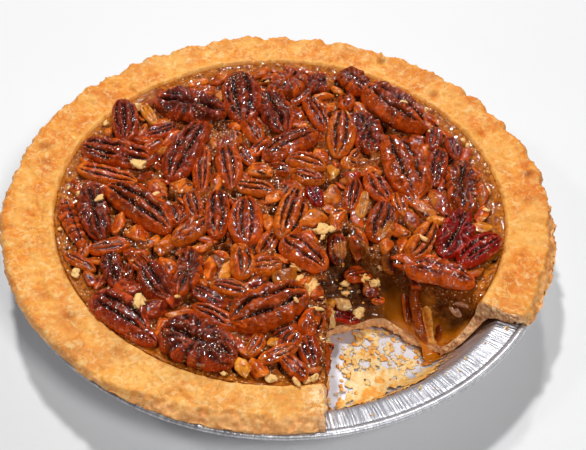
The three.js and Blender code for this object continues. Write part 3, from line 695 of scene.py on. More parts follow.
def build_crust():
    bag = Bag()
    n = 940
    a0 = math.radians(-31.4)
    # the ends of the ring follow the two cuts, so they depend on the radius
    right_r, right_a = RIGHT_CUT[:, 0], np.radians(RIGHT_CUT[:, 1])

    # thick sheet: matching points on top and underneath
    top = [tuple(v) for v in SIDE_IN] + [(92.4, 32.9)]
    low = [tuple(v) for v in SIDE_OUT] + [(99.6, 27.5)]
    k = 27
    s = np.linspace(0, 1, k + 1)[1:]
    top += [(92.4 + (1 - 0) * 16.0 * q, 33.0) for q in s]
    low += [(99.6 + 8.6 * q, 27.5 + 1.2 * smooth(0.3, 1, q)) for q in s]
    # outer side face, rounded
    e = np.linspace(0, 1, 8)[1:]
    top += [(108.4 + 2.6 * math.sin(q * math.pi / 2), 33.0 - 3.0 * (1 - math.cos(q * math.pi / 2))) for q in e]
    low += [(108.2 + 2.3 * q, 28.7 + 0.5 * q) for q in e]
    top, low = np.array(top), np.array(low)
    rows = len(top)
    is_rim = smooth(90.5, 94, top[:, 0])

    w = np.linspace(0, 1, n)
    # evenly spread
    def place(profile, under):
        r = profile[:, 0][:, None]
        z = profile[:, 1][:, None]
        start = np.where(z < 27.0, np.interp(z, RIGHT_TEAR[:, 0], np.radians(RIGHT_TEAR[:, 1])), np.interp(r, right_r, right_a))
        end = TAU - np.arccos(np.clip((CUT_X - 0.4) / r, -1, 1))
        A = start + (end - start) * w[None, :]
        rr, zz, strength = rim_r(A)
        share = np.clip((r - 92.4) / (111.0 - 92.4), 0, 1)
        R = r + (rr - 111.0) * share
        Z = z + (zz - 33.0) * smooth(0.25, 1.0, share) * (0.35 if under else 1.0)
        if not under:
            edge = np.interp(np.degrees(A), FOLD[:, 0], FOLD[:, 1]) + 0.5 * np.sin(A * 23) + 0.4 * np.sin(A * 61 + 1)
            slope = 32.4 - 3.0 * np.clip((R - edge) / np.maximum(111.6 - edge, 0.5), 0, 1)
            Z = Z - np.maximum(Z - slope, 0) * smooth(edge - 0.2, edge + 0.7, R)
        return A, R, Z, share, strength

    A, R, Z, share, strength = place(top, False)
    fl, phase = rim_flute(A, R)
    P0 = np.stack([(R * np.cos(A)).ravel(), (R * np.sin(A)).ravel(), Z.ravel()], -1)
    lump = fbm(P0, 0.09, 3, 41).reshape(A.shape)
    rough = fbm(P0, 0.42, 3, 43).reshape(A.shape)
    flake = fbm(P0, 1.1, 2, 47).reshape(A.shape)
    edge = smooth(0.35, 1.0, share)
    bandz = is_rim[:, None]
    fall = smooth(0.80, 1.0, share)
    # folds and blisters of the flaky dough, drawn out across the rim
    arc = np.stack([(A * 100).ravel(), (R * 0.42).ravel(), np.zeros(A.size)], -1)
    arc[:, 0] += 2.2 * noise(P0, 0.10, 44)
    fold = (1 - 2.4 * np.abs(noise(arc, 0.30, 45))).reshape(A.shape)
    fold2 = (1 - 2.4 * np.abs(noise(arc * np.array([1.0, 2.0, 1.0]) + 40, 0.62, 46))).reshape(A.shape)
    blister = smooth(0.15, 0.75, fbm(P0 + 30, 0.16, 2, 48).reshape(A.shape))
    fold_r = np.interp(np.degrees(A), FOLD[:, 0], FOLD[:, 1]) + 0.5 * np.sin(A * 23) + 0.4 * np.sin(A * 61 + 1)
    beyond = smooth(-0.35, 0.35, R - fold_r + 1.0 * rough) * bandz
    flakes, ftag = cells(P0 * np.array([1.0, 1.0, 1.8]), 3.2, 55)
    flakes, ftag = flakes.reshape(A.shape), ftag.reshape(A.shape)
    dz = (0.80 * fl * strength * (0.25 + 0.75 * edge) + 0.9 * lump + 0.42 * rough + 0.15 * flake + 0.32 * fold + 0.16 * fold2 + 0.50 * blister) * bandz
    dz += beyond * (0.9 * (ftag - 0.5) + 0.5 * rough + 0.3 * flake)
    dr = (0.66 * fl * strength * edge + 0.6 * rough * edge + 0.35 * flake * edge + 0.3 * fold * edge) * bandz
    # a soft dish in the middle of the rim, a rounded lip inside
    dz += (-0.7 * np.sin(np.clip(share * 1.25, 0, 1) * math.pi)) * bandz * 0.6
    # small tears and cracks
    tear = smooth(0.56, 0.74, fbm(P0 + 90, 0.22, 2, 51).reshape(A.shape)) * bandz * (1 - edge * 0.4)
    ridge = np.abs(noise(P0 * np.array([1.0, 1.0, 0.3]), 0.16, 53).reshape(A.shape))
    crack = smooth(0.05, 0.0, ridge) * smooth(0.15, 0.5, lump + 0.25) * bandz
    dz -= 0.5 * tear + 0.45 * crack
    X, Y = R * np.cos(A), R * np.sin(A)
    torn = np.zeros_like(A)
    for i, (x0, y0, x1, y1) in enumerate(CRACKS):
        ux, uy = x1 - x0, y1 - y0
        q = np.clip(((X - x0) * ux + (Y - y0) * uy) / (ux * ux + uy * uy), 0, 1)
        off = 0.5 * rough + 0.8 * np.sin(q * 7 + i)
        d = np.hypot(X - x0 - ux * q + off * uy / math.hypot(ux, uy), Y - y0 - uy * q - off * ux / math.hypot(ux, uy))
        torn = np.maximum(torn, np.exp(-(d / (0.45 + 0.2 * hash1(i, 6))) ** 2) * np.sin(np.clip(q, 0.06, 0.94) * math.pi) ** 0.4)
    dz -= 0.7 * torn * bandz
    pits = [(-101.5, 26.3), (-99.5, 18.5), (-76.0, -65.0), (-56.0, -80.0), (44.0, 95.0), (103.5, 21.0), (-86, -56), (-18, -93.5), (67, 72)]
    burnt = np.zeros_like(A)
    X, Y = R * np.cos(A), R * np.sin(A)
    for i, (px, py) in enumerate(pits):
        d = np.hypot((X - px) * (1.0 + 0.4 * hash1(i)), (Y - py) * (1.5 - 0.5 * hash1(i, 2)))
        size = 1.4 + 1.2 * hash1(i, 3)
        g = np.exp(-(d / size) ** 2) * bandz
        dz -= g * 1.1
        burnt = np.maximum(burnt, np.exp(-(d / (size * 1.25)) ** 2) * (1.0 if i in (4, 5) else 0.55))
    Zt, Rt = Z + dz, R + dr
    Xt, Yt = Rt * np.cos(A), Rt * np.sin(A)

    brown = np.clip(0.35 * smooth(0.1, 1.0, fl) * strength * edge + 0.5 * smooth(0.1, 0.6, rough + 0.5 * lump) * 0.5
                    + 0.75 * smooth(-0.55, -1.15, fold) * smooth(-0.2, 0.5, lump + 0.2) + 0.3 * smooth(-0.5, -1.1, fold2), 0, 1) * bandz
    brown = np.maximum(brown, 0.9 * smooth(0.3, 0.9, tear) + 0.6 * crack)
    # painted shade: one flank of every flute is browner, as if turned away from the light
    brown = np.maximum(brown, 0.55 * smooth(-0.1, 0.9, np.cos(phase + 0.5)) * strength * smooth(0.2, 0.6, share) * (0.4 + 0.6 * smooth(-0.4, 0.4, lump)))
    brown = np.maximum(brown, torn * 1.1)
    brown = np.maximum(brown, 0.8 * np.exp(-((R - fold_r + 1.0 * rough - 0.1) / 0.45) ** 2) * smooth(-0.5, 0.3, flake) * bandz)
    # one toasted patch on the right edge, a few along the rim
    for i in range(26):
        ta = hash1(i, 9) * TAU
        tr = 96 + 13 * hash1(i, 11)
        d = np.hypot(X - tr * math.cos(ta), Y - tr * math.sin(ta))
        brown = np.maximum(brown, (0.25 + 0.5 * hash1(i, 12)) * np.exp(-(d / (2 + 5 * hash1(i, 13))) ** 2))
    side = np.maximum(smooth(0.90, 1.0, share + 0.05 * rough) * bandz, 0.85 * smooth(-1.2, 2.6, R - fold_r + 1.6 * rough) * bandz)
    # painted shade: the lowest strip of the rim's outer face is darkened, as the shadowed gap above the foil
    burnt = np.maximum(burnt, 0.75 * smooth(0.975, 0.998, share) * smooth(-0.35, 0.35, rough + 0.6 * flake) * bandz)
    lip = smooth(0.20, 0.02, share + 0.06 * rough) * smooth(88.5, 90.5, R) * (0.7 + 0.3 * smooth(-0.3, 0.4, rough))
    glaze = smooth(93.3, 91.5, R + 1.5 * rough + 1.3 * lump) * 0.9
    light = fbm(P0 + 200, 0.055, 2, 57).reshape(A.shape)
    lip = np.maximum(lip, 0.75 * smooth(0.10, 0.45, light + 0.25 * rough) * smooth(0.9, 0.7, share) * bandz)

    A2, R2, Z2, share2, strength2 = place(low, True)
    P2 = np.stack([(R2 * np.cos(A2)).ravel(), (R2 * np.sin(A2)).ravel(), Z2.ravel()], -1)
    rough2 = fbm(P2, 0.35, 3, 61).reshape(A2.shape)
    rag = fbm(P2, 0.8, 2, 67).reshape(A2.shape)
    low_edge = smooth(0.6, 1.0, share2)
    fl2, _ = rim_flute(A2, R2)
    Z2 = Z2 + 0.25 * rough2 + (0.7 * rag + 0.35 * rough2) * low_edge
    Z2 = np.where(R2 > 106.0, np.maximum(Z2, 28.85 + 0.35 * low_edge), Z2)
    R2 = R2 + (0.8 * fl2 * strength2 + 0.5 * rag) * low_edge - 0.2 * low_edge
    X2, Y2 = R2 * np.cos(A2), R2 * np.sin(A2)

    # ragged cut ends
    def ragged(X, Y, Z, A):
        P = np.stack([X.ravel(), Y.ravel(), Z.ravel()], -1)
        j = (0.9 * fbm(P, 0.35, 3, 71) + 0.5 * fbm(P, 1.2, 2, 73)).reshape(X.shape)
        fade = np.exp(-(np.minimum(w, 1 - w) * 309 * 1.75) / 1.6)[None, :]
        sgn = np.where(w < 0.5, 1.0, -1.0)[None, :]
        t = j * fade * sgn
        return X - np.sin(A) * t, Y + np.cos(A) * t

    Xt, Yt = ragged(Xt, Yt, Zt, A)
    X2, Y2 = ragged(X2, Y2, Z2, A2)
    zero = np.zeros(A.size)
    offt = bag.add(np.stack([Xt.ravel(), Yt.ravel(), Zt.ravel()], -1), grid_faces(rows, n, flip=True),
                   brown=np.clip(brown, 0, 1).ravel(), burnt=burnt.ravel(), side=side.ravel(), lip=lip.ravel(),
                   glaze=glaze.ravel(), cut=zero)
    under_side = np.ones(A2.size)
    # painted shade: the underside darkens towards its outer edge, as the shadow under the rim
    offl = bag.add(np.stack([X2.ravel(), Y2.ravel(), Z2.ravel()], -1), grid_faces(rows, n),
                   brown=zero, burnt=(0.9 * smooth(0.75, 0.98, share2)).ravel(), side=under_side, lip=zero, glaze=zero, cut=zero)
    # close the outer edge, the inner foot and the two cut ends
    c = np.arange(n - 1)
    lt, ll = offt + (rows - 1) * n + c, offl + (rows - 1) * n + c
    bag.q.append(np.stack([lt, ll, ll + 1, lt + 1], -1)[:, ::-1])
    bag.q.append(np.stack([offt + c, offl + c, offl + c + 1, offt + c + 1], -1))
    for col, flip in ((0, False), (n - 1, True)):
        ti = offt + np.arange(rows) * n + col
        li = offl + np.arange(rows) * n + col
        vt = np.stack([Xt[:, col], Yt[:, col], Zt[:, col]], -1)
        vl = np.stack([X2[:, col], Y2[:, col], Z2[:, col]], -1)
        layers = 9
        g = np.linspace(0, 1, layers + 1)[1:-1]
        mid = vt[None] * (1 - g[:, None, None]) + vl[None] * g[:, None, None]
        ang = A[0, col] if not flip else A[0, col]
        along = np.array([-math.sin(ang), math.cos(ang), 0.0]) * (1 if not flip else -1)
        flat = mid.reshape(-1, 3)
        bump = 0.75 * fbm(flat, 0.45, 3, 79) + 0.45 * fbm(flat * np.array([1, 1, 2.5]), 1.1, 2, 83)
        mid = (flat + along * bump[:, None]).reshape(mid.shape)
        om = bag.add(mid.reshape(-1, 3), None, None, brown=0.0, burnt=0.0, side=0.0, lip=0.0, glaze=0.0, cut=1.0)
        ring = [ti] + [om + i * rows + np.arange(rows) for i in range(layers - 1)] + [li]
        for p, q in zip(ring[:-1], ring[1:]):
            f = np.stack([p[:-1], p[1:], q[1:], q[:-1]], -1)
            bag.q.append(f if flip else f[:, ::-1])

    # crumbly faces over the two ends
    for col, sgn in ((0, -1.0), (n - 1, 1.0)):
        vt = np.stack([Xt[:, col], Yt[:, col], Zt[:, col]], -1)
        vl = np.stack([X2[:, col], Y2[:, col], Z2[:, col]], -1)
        ln = np.concatenate([[0], np.cumsum(np.linalg.norm(np.diff(vt, axis=0), axis=1))])
        ms, mg = 120, 18
        st = np.linspace(0, ln[-1], ms)
        ft = np.stack([np.interp(st, ln, vt[:, k]) for k in range(3)], -1)
        fl_ = np.stack([np.interp(st, ln, vl[:, k]) for k in range(3)], -1)
        g = np.linspace(0.03, 0.97, mg)
        face_v = ft[:, None] * (1 - g[None, :, None]) + fl_[:, None] * g[None, :, None]
        ang = A[:, col].mean()
        along = np.array([-math.sin(ang), math.cos(ang), 0.0]) * sgn
        if sgn > 0:
            along = np.array([1.0, 0.0, 0.0])
        flat = face_v.reshape(-1, 3)
        flat2 = flat * np.array([1, 1, 1.6])
        _, plate = cells(flat2, 1.7, 85)
        out = 0.55 + 0.7 * fbm(flat, 0.4, 3, 86) + 0.9 * (plate - 0.5) + 0.35 * fbm(flat2, 1.9, 2, 87)
        out = out.reshape(ms, mg)
        border = np.minimum(1, np.minimum(np.arange(mg)[None, :], np.arange(mg)[::-1][None, :]) / 2.0) * np.minimum(
            1, np.minimum(np.arange(ms)[:, None], np.arange(ms)[::-1][:, None]) / 2.0)
        out = out * (0.35 + 0.65 * border) + 0.05
        front = face_v + along * out[..., None]
        back = face_v - along * 1.6
        o1 = bag.add(front.reshape(-1, 3), None, None, brown=0.0, burnt=0.0, side=0.0, lip=0.0, glaze=0.0, cut=1.0)
        o2 = bag.add(back.reshape(-1, 3), None, None, brown=0.0, burnt=0.0, side=0.0, lip=0.0, glaze=0.0, cut=1.0)
        q = grid_faces(ms, mg)
        turn = sgn > 0
        bag.q.append((q if turn else q[:, ::-1]) + o1)
        bag.q.append((q[:, ::-1] if turn else q) + o2)
        loop = np.concatenate([np.arange(mg), np.arange(1, ms) * mg + mg - 1, (ms - 1) * mg + np.arange(mg - 2, -1, -1), np.arange(ms - 2, 0, -1) * mg])
        nx_ = np.roll(loop, -1)
        f = np.stack([loop + o1, nx_ + o1, nx_ + o2, loop + o2], -1)
        bag.q.append(f[:, ::-1] if turn else f)

    # bottom crust: a ribbon along the left cut and the torn toe, over a plain disc
    path = np.concatenate([[(CUT_X, -83.0)], [(CUT_X, -78.0), (CUT_X, -70), (CUT_X, -60), (CUT_X, -52)], TOE[:8], [(65.2, -51.6), (68.6, -50.4), (72.0, -46.5)]])
    seg = np.concatenate([[0], np.cumsum(np.hypot(*np.diff(path, axis=0).T))])
    m = int(seg[-1] / 0.45)
    d = np.linspace(0, seg[-1], m)
    px, py = np.interp(d, seg, path[:, 0]), np.interp(d, seg, path[:, 1])
    for _ in range(6):
        px[1:-1] = (px[:-2] + px[1:-1] + px[2:]) / 3
        py[1:-1] = (py[:-2] + py[1:-1] + py[2:]) / 3
    tx, ty = np.gradient(px), np.gradient(py)
    tl = np.hypot(tx, ty)
    nx, ny = -ty / tl, tx / tl           # away from the opening
    # section of the slab: from deep inside on top, over the torn edge, to deep inside below
    face = 9
    sec = [(14, 5.2), (9, 5.3), (5, 5.5), (2.6, 5.6), (1.2, 5.6), (0.4, 5.4)]
    sec += [(0.0 - 0.35 * math.sin(q * math.pi) - 1.2 * q, 5.15 - 3.1 * q) for q in np.linspace(0, 1, face)]
    sec += [(0.2, 1.5), (2.0, 0.9), (6, 0.8), (14, 0.8)]
    sec = np.array(sec)
    D, U = sec[:, 0][:, None], sec[:, 1][:, None]
    X = px[None] + nx[None] * D
    Y = py[None] + ny[None] * D
    Zs = U + 0 * X
    P = np.stack([X.ravel(), Y.ravel(), Zs.ravel()], -1)
    j = (1.0 * fbm(P, 0.22, 3, 91) + 0.6 * fbm(P * np.array([1, 1, 1.8]), 0.9, 2, 93) + 0.45 * fbm(P * np.array([1, 1, 1.4]), 1.9, 2, 94)).reshape(X.shape)
    near = np.exp(-np.maximum(D, 0) / 2.2)
    X, Y = X + nx[None] * j * near, Y + ny[None] * j * near
    # the torn part lifts off the foil a little
    lift = smooth(20, 26, px)[None] * smooth(76, 66, px)[None] * (0.9 + 0.6 * np.sin(px * 0.33)[None]) * np.exp(-np.maximum(D, 0) / 6)
    lift = lift * (py > -60)[None]
    Zs = Zs + lift + 0.3 * j * near
    Zs = np.maximum(Zs, 0.62)
    crumbly = np.repeat((sec[:, 0] < 1.0).astype(float), m)
    bag.add(np.stack([X.ravel(), Y.ravel(), Zs.ravel()], -1), grid_faces(len(sec), m),
            brown=0.0, burnt=0.0, side=0.0, lip=0.0, glaze=0.0, cut=crumbly * 0.9)
    nd = 96
    ad = np.linspace(0, TAU, nd, endpoint=False)
    disc_r = np.array([30.0, 60.0, 81.0])
    rows_d = []
    for rr in disc_r:
        xx, yy = rr * np.cos(ad), rr * np.sin(ad)
        inside = (xx > CUT_X - 3) & (yy < toe_y(np.clip(xx, CUT_X, 76)) + 4) & (np.degrees(ad - TAU) > -80) & (yy < 0) & (np.degrees(np.arctan2(yy, xx)) < -30)
        # points that fall in the opening are pulled back under the filling
        scale = np.where(inside, np.minimum(1.0, 42.0 / rr), 1.0)
        rows_d.append(np.stack([xx * scale, yy * scale], -1))
    for z, flip in ((4.7, True), (0.95, False)):
        v = [np.array([[0, 0, z]])] + [np.concatenate([q, np.full((nd, 1), z)], 1) for q in rows_d]
        v = np.concatenate(v)
        c = np.arange(nd)
        tri = np.stack([np.zeros(nd, int), 1 + c, 1 + (c + 1) % nd], -1)
        q = grid_faces(3, nd, wrap=True, offset=1)
        bag.add(v, q[:, ::-1] if flip else q, tri if flip else tri[:, ::-1],
                brown=0.0, burnt=0.0, side=0.0, lip=0.0, glaze=0.0, cut=0.0)
    for part in bag.v:
        near = (np.hypot(part[:, 0], part[:, 1]) > 78.0) & (part[:, 2] < 6.0) & (part[:, 0] > 8.0) & (part[:, 0] < 78.0) & (part[:, 1] < -40.0)
        lifted = above_foil(part.copy())
        part[near] = lifted[near]
    obj = bag.build("pastry_crust", PASTRY)
    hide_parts("crust")
    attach(obj, "root")


# ------------------------------------------------------------------ nuts
LAYOUT = [
    [51, 22, 36, 17, 106, 34.6, 0, 0, 'ridged', 1.0, 'red'],
    [48, 59, 37, 17, -48, 34.8, 0, -6, 'ridged', 1.2, 'dark'],
    [-2, -58, 31, 17, 30, 34.8, 0, 8, 'ridged', 0.6, 'red'],
    [-27, -76, 30, 18, -27, 34.4, 0, 4, 'creased', 0, 'plum'],
    [70, -16.5, 26, 12, 68, 34.8, 0, 8, 'creased', 1.4, 'ruby'],
    [79, -24.5, 23, 11, 42, 34.2, 0, -5, 'ridged', -1.2, 'ruby'],
    [-42, 55, 32, 16, -12, 34.2, 0, 5, 'creased', 0.8, 'plum'],
    [-41, 26.5, 36, 14, 73, 34.2, 2, 0, 'ridged', -1, 'plum'],
    [-70, 22.8, 32, 13, -14, 34.0, 0, 6, 'ridged', 0.8, 'dark'],
    [-74.5, -12, 30, 11.5, -73, 34.4, 0, -6, 'creased', 0.6, 'plum'],
    [-57, -8, 36, 13, -40, 34.0, 0, 6, 'ridged', -1.2, 'dark'],
    [-57, -63.5, 27, 13, -35, 34.2, 0, 8, 'ridged', -1.4, 'plum'],
    [-45, -48.5, 19, 12, -55, 35.0, -6, 10, 'edge', 1.5, 'plum'],
    [1, 73, 21, 14, 55, 34.6, 0, -8, 'creased', 1.2, 'red'],
    [-20, 63.5, 33, 16, 98, 33.4, 0, 4, 'ridged', 0.8, 'plum'],
    [-5, 54.5, 28, 13, 112, 34.4, 0, -6, 'creased', 0.4, 'plum'],
    [3, 32.5, 28, 13, 38, 34.0, 0, -10, 'ridged', -0.8, 'dark'],
    [24.5, 41, 29, 11, 86, 34.4, 0, 0, 'ridged', 0.8, 'amber'],
    [35.5, 44, 25, 14, 105, 32.9, 0, 6, 'creased', 0, 'plum'],
    [75, 11.5, 30, 12, 88, 34.0, 0, 5, 'creased', -0.8, 'dark'],
    [63, -37.8, 26, 11.5, -14, 33.8, 0, -8, 'edge', -1.0, 'red'],
    [10, -30, 23, 13, -48, 34.4, 6, 0, 'ridged', 1.0, 'red'],
    [4.5, -8, 29, 11, 78, 33.8, 0, 20, 'edge', 0.6, 'amber'],
    [-13.5, -13, 26, 12.5, 95, 33.6, 0, 0, 'ridged', 0, 'red'],
    [-25.3, -9.5, 26, 9.5, 93, 33.6, 0, 0, 'ridged', 0.5, 'dark'],
    [-22.5, 18, 26, 10, 100, 33.6, 0, -5, 'ridged', 0.5, 'red'],
    [-33.6, 16, 27, 7, 92, 33.4, 0, 0, 'edge', -0.8, 'red'],
    [-34.5, -41, 24, 9.5, 84, 34.0, 0, 0, 'creased', 1.6, 'dark'],
    [10, 21.5, 17, 8.5, -14, 34.6, 0, 0, 'edge', -1.4, 'amber'],
    [10.5, 13.2, 15, 8, -15, 34.0, 0, 0, 'edge', 1.0, 'amber'],
    [41, -10.5, 22, 11, 76, 33.6, 0, 0, 'ridged', 0.6, 'dark'],
    [39.5, 8.5, 17, 9.5, -65, 34.2, 0, 0, 'ridged', 0.8, 'red'],
    [57, -20, 22, 9.5, 62, 33.6, 0, 18, 'edge', 0.6, 'amber'],
    [31, 76.8, 19, 12.5, -52, 34.4, 0, -6, 'creased', 1.6, 'dark'],
    [-14, -35.5, 17, 9.5, 100, 34.4, 0, 0, 'edge', 1.2, 'amber'],
    [-69.8, 44.5, 26, 11, 100, 33.8, 0, 6, 'edge', 0.8, 'plum'],
    [-35, -20, 19, 8.5, 50, 34.0, 0, 0, 'edge', 0.8, 'amber'],
    [13.5, 54, 23, 8, 114, 33.6, 0, 12, 'ridged', 0.4, 'dark'],
    [-82.3, -18, 28, 6.8, -65, 33.2, 0, 0, 'edge', 1.0, 'red'],
    [29.3, 4, 19, 7, 82, 33.6, 0, 0, 'edge', 0.5, 'dark'],
    [65.5, 23.5, 23, 8.5, 78, 33.2, 0, 0, 'ridged', -0.6, 'plum'],
    [-73, 11, 26, 8, -17, 32.6, 0, 14, 'ridged', 0.4, 'amber'],
    [-21, -62.8, 22, 6.8, -28, 33.2, 0, 14, 'ridged', 0.3, 'red'],
    [-10.8, 5.8, 16, 8, -12, 33.4, 0, 0, 'ridged', 0.6, 'amber'],
    [-63, -41, 18, 8, -70, 33.2, 0, 0, 'creased', 0.5, 'plum'],
    [-46.5, -59.5, 14, 9, 20, 33.0, 0, 0, 'chip', 0, 'plum'],
    [23.3, -10.5, 14, 6.8, 68, 33.4, 0, 0, 'chip', 0.6, 'amber'],
    [-50.6, -70.6, 19, 7.5, -34, 32.8, 0, -6, 'edge', 0.6, 'plum'],
    [14.5, 76.5, 14, 10, 10, 32.8, 0, 6, 'creased', 0.4, 'plum'],
    [-17, -48.5, 16, 7, -14, 33.0, 0, 0, 'edge', -1.2, 'amber'],
    [-35.2, -5, 16, 7, -76, 33.0, 0, 0, 'edge', 0.5, 'red'],
    [65.3, 2, 15, 7, 112, 32.8, 0, 0, 'chip', 0.4, 'plum'],
    [58.5, -3.5, 12, 8, -50, 33.0, 0, 0, 'chip', 0.4, 'red'],
    [-53.5, 39.5, 16, 6.5, 28, 32.6, 0, 0, 'edge', 0.6, 'plum'],
    [-9.3, 16, 14, 8.5, -20, 32.8, 0, 0, 'chip', 0.4, 'amber'],
    [59.2, -41.6, 27, 11.5, -73, 18.2, -41, -6, 'ridged', 0.4, 'amber'],
]
# chopped pieces, too small for a node of their own
CHOPPED = [
    [-51, 4, 12, 7, -60, 33.2, 0, 0, 'chip', 0, 'dark'], [-57, -21, 11, 8, -30, 32.6, 0, 0, 'chip', 0, 'amber'],
    [-43, 7.5, 10, 6, 60, 32.0, 0, 0, 'chip', 0, 'amber'], [-16.5, 27, 14, 6, -60, 32.6, 0, 0, 'edge', 0.4, 'red'],
    [43, -23, 10, 6, 82, 33.2, 0, 0, 'chip', 0, 'amber'], [65, 41.5, 13, 6.5, 80, 33.0, 0, 0, 'edge', 0.3, 'plum'],
    [73.3, 36, 13, 6.5, 100, 33.0, 0, 0, 'edge', 0.3, 'plum'], [-14, 42, 15, 8, 120, 32.6, 0, 0, 'edge', 0.3, 'red'],
    [-66, -30, 15, 6.5, 15, 33.0, 0, 0, 'edge', 0.3, 'red'], [-25, -53, 15, 6.5, -33, 33.0, 0, 0, 'ridged', 0.3, 'plum'],
    [-76.5, -37.5, 15, 5, -32, 32.4, 0, 0, 'edge', 0.3, 'amber'], [-6.5, -75, 11, 5.5, 65, 33.2, 0, 0, 'edge', 0.8, 'amber'],
    [6, -73, 10, 7, 60, 33.6, 0, 0, 'ridged', 0, 'red'], [2, -79, 15, 5.5, 27, 34.2, 4, 10, 'edge', 0.3, 'amber'],
    [8, -85, 13, 6.5, -48, 34.2, 0, 0, 'ridged', 0, 'red'], [13.2, -75.5, 13, 8, -75, 31.8, -8, 0, 'edge', 0, 'dark'],
    [-5, -85.5, 11, 6, -45, 33.0, 0, 0, 'chip', 0, 'amber'], [-18.5, -82.3, 9, 7.5, 10, 33.0, 0, 0, 'chip', 0, 'gold'],
    [-12, -76, 9, 5, -60, 33.0, 0, 0, 'chip', 0, 'amber'], [1, -73, 7, 5, 20, 33.0, 0, 0, 'chip', 0, 'gold'],
    [-10.5, -85.5, 9, 5, -52, 33.4, 0, 0, 'chip', 0, 'gold'], [-54, -38, 12, 4.5, -52, 33.6, 0, 0, 'edge', 0, 'red'],
    [-50.5, -38.5, 13, 4.5, -50, 33.8, 0, 0, 'edge', 0, 'red'], [-55, -50, 13, 9, 25, 32.8, 0, 0, 'chip', 0, 'plum'],
    [-38.6, -54.5, 12, 7, 80, 33.4, 0, 0, 'chip', 0, 'plum'], [-9.5, 32, 13, 6, 55, 32.8, 0, 0, 'edge', 0.3, 'red'],
    [7, 66, 14, 4.5, 55, 33.4, 0, 0, 'edge', 0.5, 'dark'], [1, 86, 9, 6.5, 80, 32.8, 0, 0, 'chip', 0, 'plum'],
    [-31.5, 62, 16, 4, 62, 32.6, 0, 0, 'edge', 0.8, 'gold'], [-4.5, -36.5, 12, 9, 10, 33.2, 0, 0, 'edge', 0.6, 'amber'],
    [3, -41, 10, 9, 70, 33.0, 0, 0, 'chip', 0, 'jelly'], [13.5, -10, 12, 8, 30, 33.4, 0, 0, 'chip', 0, 'amber'],
    [14, 3, 12, 6, -70, 32.8, 0, 0, 'edge', 0, 'ruby'], [20.5, 3.5, 12, 8, 80, 32.6, 0, 0, 'chip', 0, 'amber'],
    [21, 17.5, 9, 6, 85, 33.0, 0, 0, 'chip', 0, 'gold'], [28.5, 14, 10, 7, 20, 33.4, 0, 0, 'chip', 0, 'ruby'],
    [33.5, -1.5, 15, 4.5, 80, 33.8, 0, 0, 'edge', 0, 'gold'], [49, 0, 13, 6, -80, 33.0, 0, 0, 'edge', 0.5, 'amber'],
    [53.5, 3.5, 11, 5, -62, 33.4, 0, 0, 'edge', 0, 'amber'], [47, -14, 11, 7, -20, 32.6, 0, 0, 'chip', 0, 'amber'],
    [64.5, -9.5, 10, 5, -20, 33.6, 0, 0, 'chip', 0, 'gold'], [51, -33, 12, 8, -20, 33.4, 0, 0, 'chip', 0, 'red'],
    [81, -11.5, 9, 5, 0, 33.0, 0, 0, 'chip', 0, 'gold'], [56, 9, 11, 4.5, 85, 33.2, 0, 0, 'edge', 0, 'amber'],
    [-20, -40.5, 11, 5, 68, 33.2, 0, 0, 'chip', 0, 'gold'], [-26, 32, 12, 5, 80, 32.2, 0, 0, 'edge', 0, 'dark'],
    [-60, 50, 13, 5, -60, 32.6, 0, 0, 'edge', 0.3, 'gold'], [-44, 63, 14, 6, 5, 32.6, 0, 0, 'edge', 0, 'red'],
    [-62, 33, 12, 5, -20, 32.4, 0, 0, 'chip', 0, 'dark'], [20, 60, 10, 5, 60, 32.2, 0, 0, 'chip', 0, 'amber'],
    [6, 47, 11, 7, -10, 32.4, 0, 0, 'chip', 0, 'amber'], [12, 39, 12, 5, -15, 33.2, 0, 0, 'edge', 0, 'amber'],
    [-44, -28, 11, 7, 35, 32.6, 0, 0, 'chip', 0, 'amber'], [-30, -29, 11, 6, 30, 33.0, 0, 0, 'chip', 0, 'amber'],
    [-2, 2, 9, 6, 40, 32.6, 0, 0, 'chip', 0, 'amber'], [61, 12, 9, 5, 60, 32.4, 0, 0, 'chip', 0, 'amber'],
    # in the slump, under the overhanging nuts and in the left cut face
    [27.2, -36.6, 9.5, 6.0, -20, 12.6, -14, 0, 'chip', 0, 'cream'], [26.4, -40.8, 13.5, 5.6, -12, 9.4, -8, 0, 'edge', 0, 'ruby'],
    [21.6, -38.0, 6, 4.5, 30, 13.6, 0, 0, 'chip', 0, 'gold'], [33.0, -27.0, 13, 7, 25, 19.6, -14, 0, 'edge', 0, 'dark'],
    [36.4, -31.6, 9, 6, -40, 17.4, -20, 0, 'chip', 0, 'plum'], [40.6, -36.6, 6, 4, 20, 14.6, 0, 0, 'chip', 0, 'red'],
    [68.6, -43.0, 12, 5, -50, 23.4, -30, 0, 'edge', 0, 'flesh'], [71.6, -44.8, 9, 4, -24, 25.2, -8, 0, 'chip', 0, 'flesh'],
    [23.5, -20.5, 12, 7, -85, 27.0, -40, 0, 'edge', 0, 'plum'], [31.0, -20.6, 11, 7, -95, 28.4, -45, 0, 'chip', 0, 'dark'],
    [44.0, -28.0, 11, 6, -70, 27.4, -40, 0, 'chip', 0, 'plum'], [54.6, -35.0, 10, 6, -85, 27.0, -40, 0, 'chip', 0, 'dark'],
    [52.6, -39.0, 14, 4.5, -78, 14.2, -42, 0, 'edge', 0, 'amber'],
    [18.0, -60.0, 12, 7, 80, 27.0, -14, 90, 'ridged', 0, 'dark'], [18.2, -74.0, 13, 8, 95, 25.5, 10, 85, 'edge', 0, 'red'],
    [18.2, -52.0, 9, 6, 60, 22.0, 20, 80, 'chip', 0, 'amber'], [18.0, -83.0, 9, 6, 80, 24.0, 0, 90, 'chip', 0, 'plum'],
    [18.4, -66.0, 10, 7, 30, 18.0, 30, 80, 'chip', 0, 'dark'], [18.6, -79.0, 9, 6, 120, 15.0, 0, 85, 'chip', 0, 'red'],
]
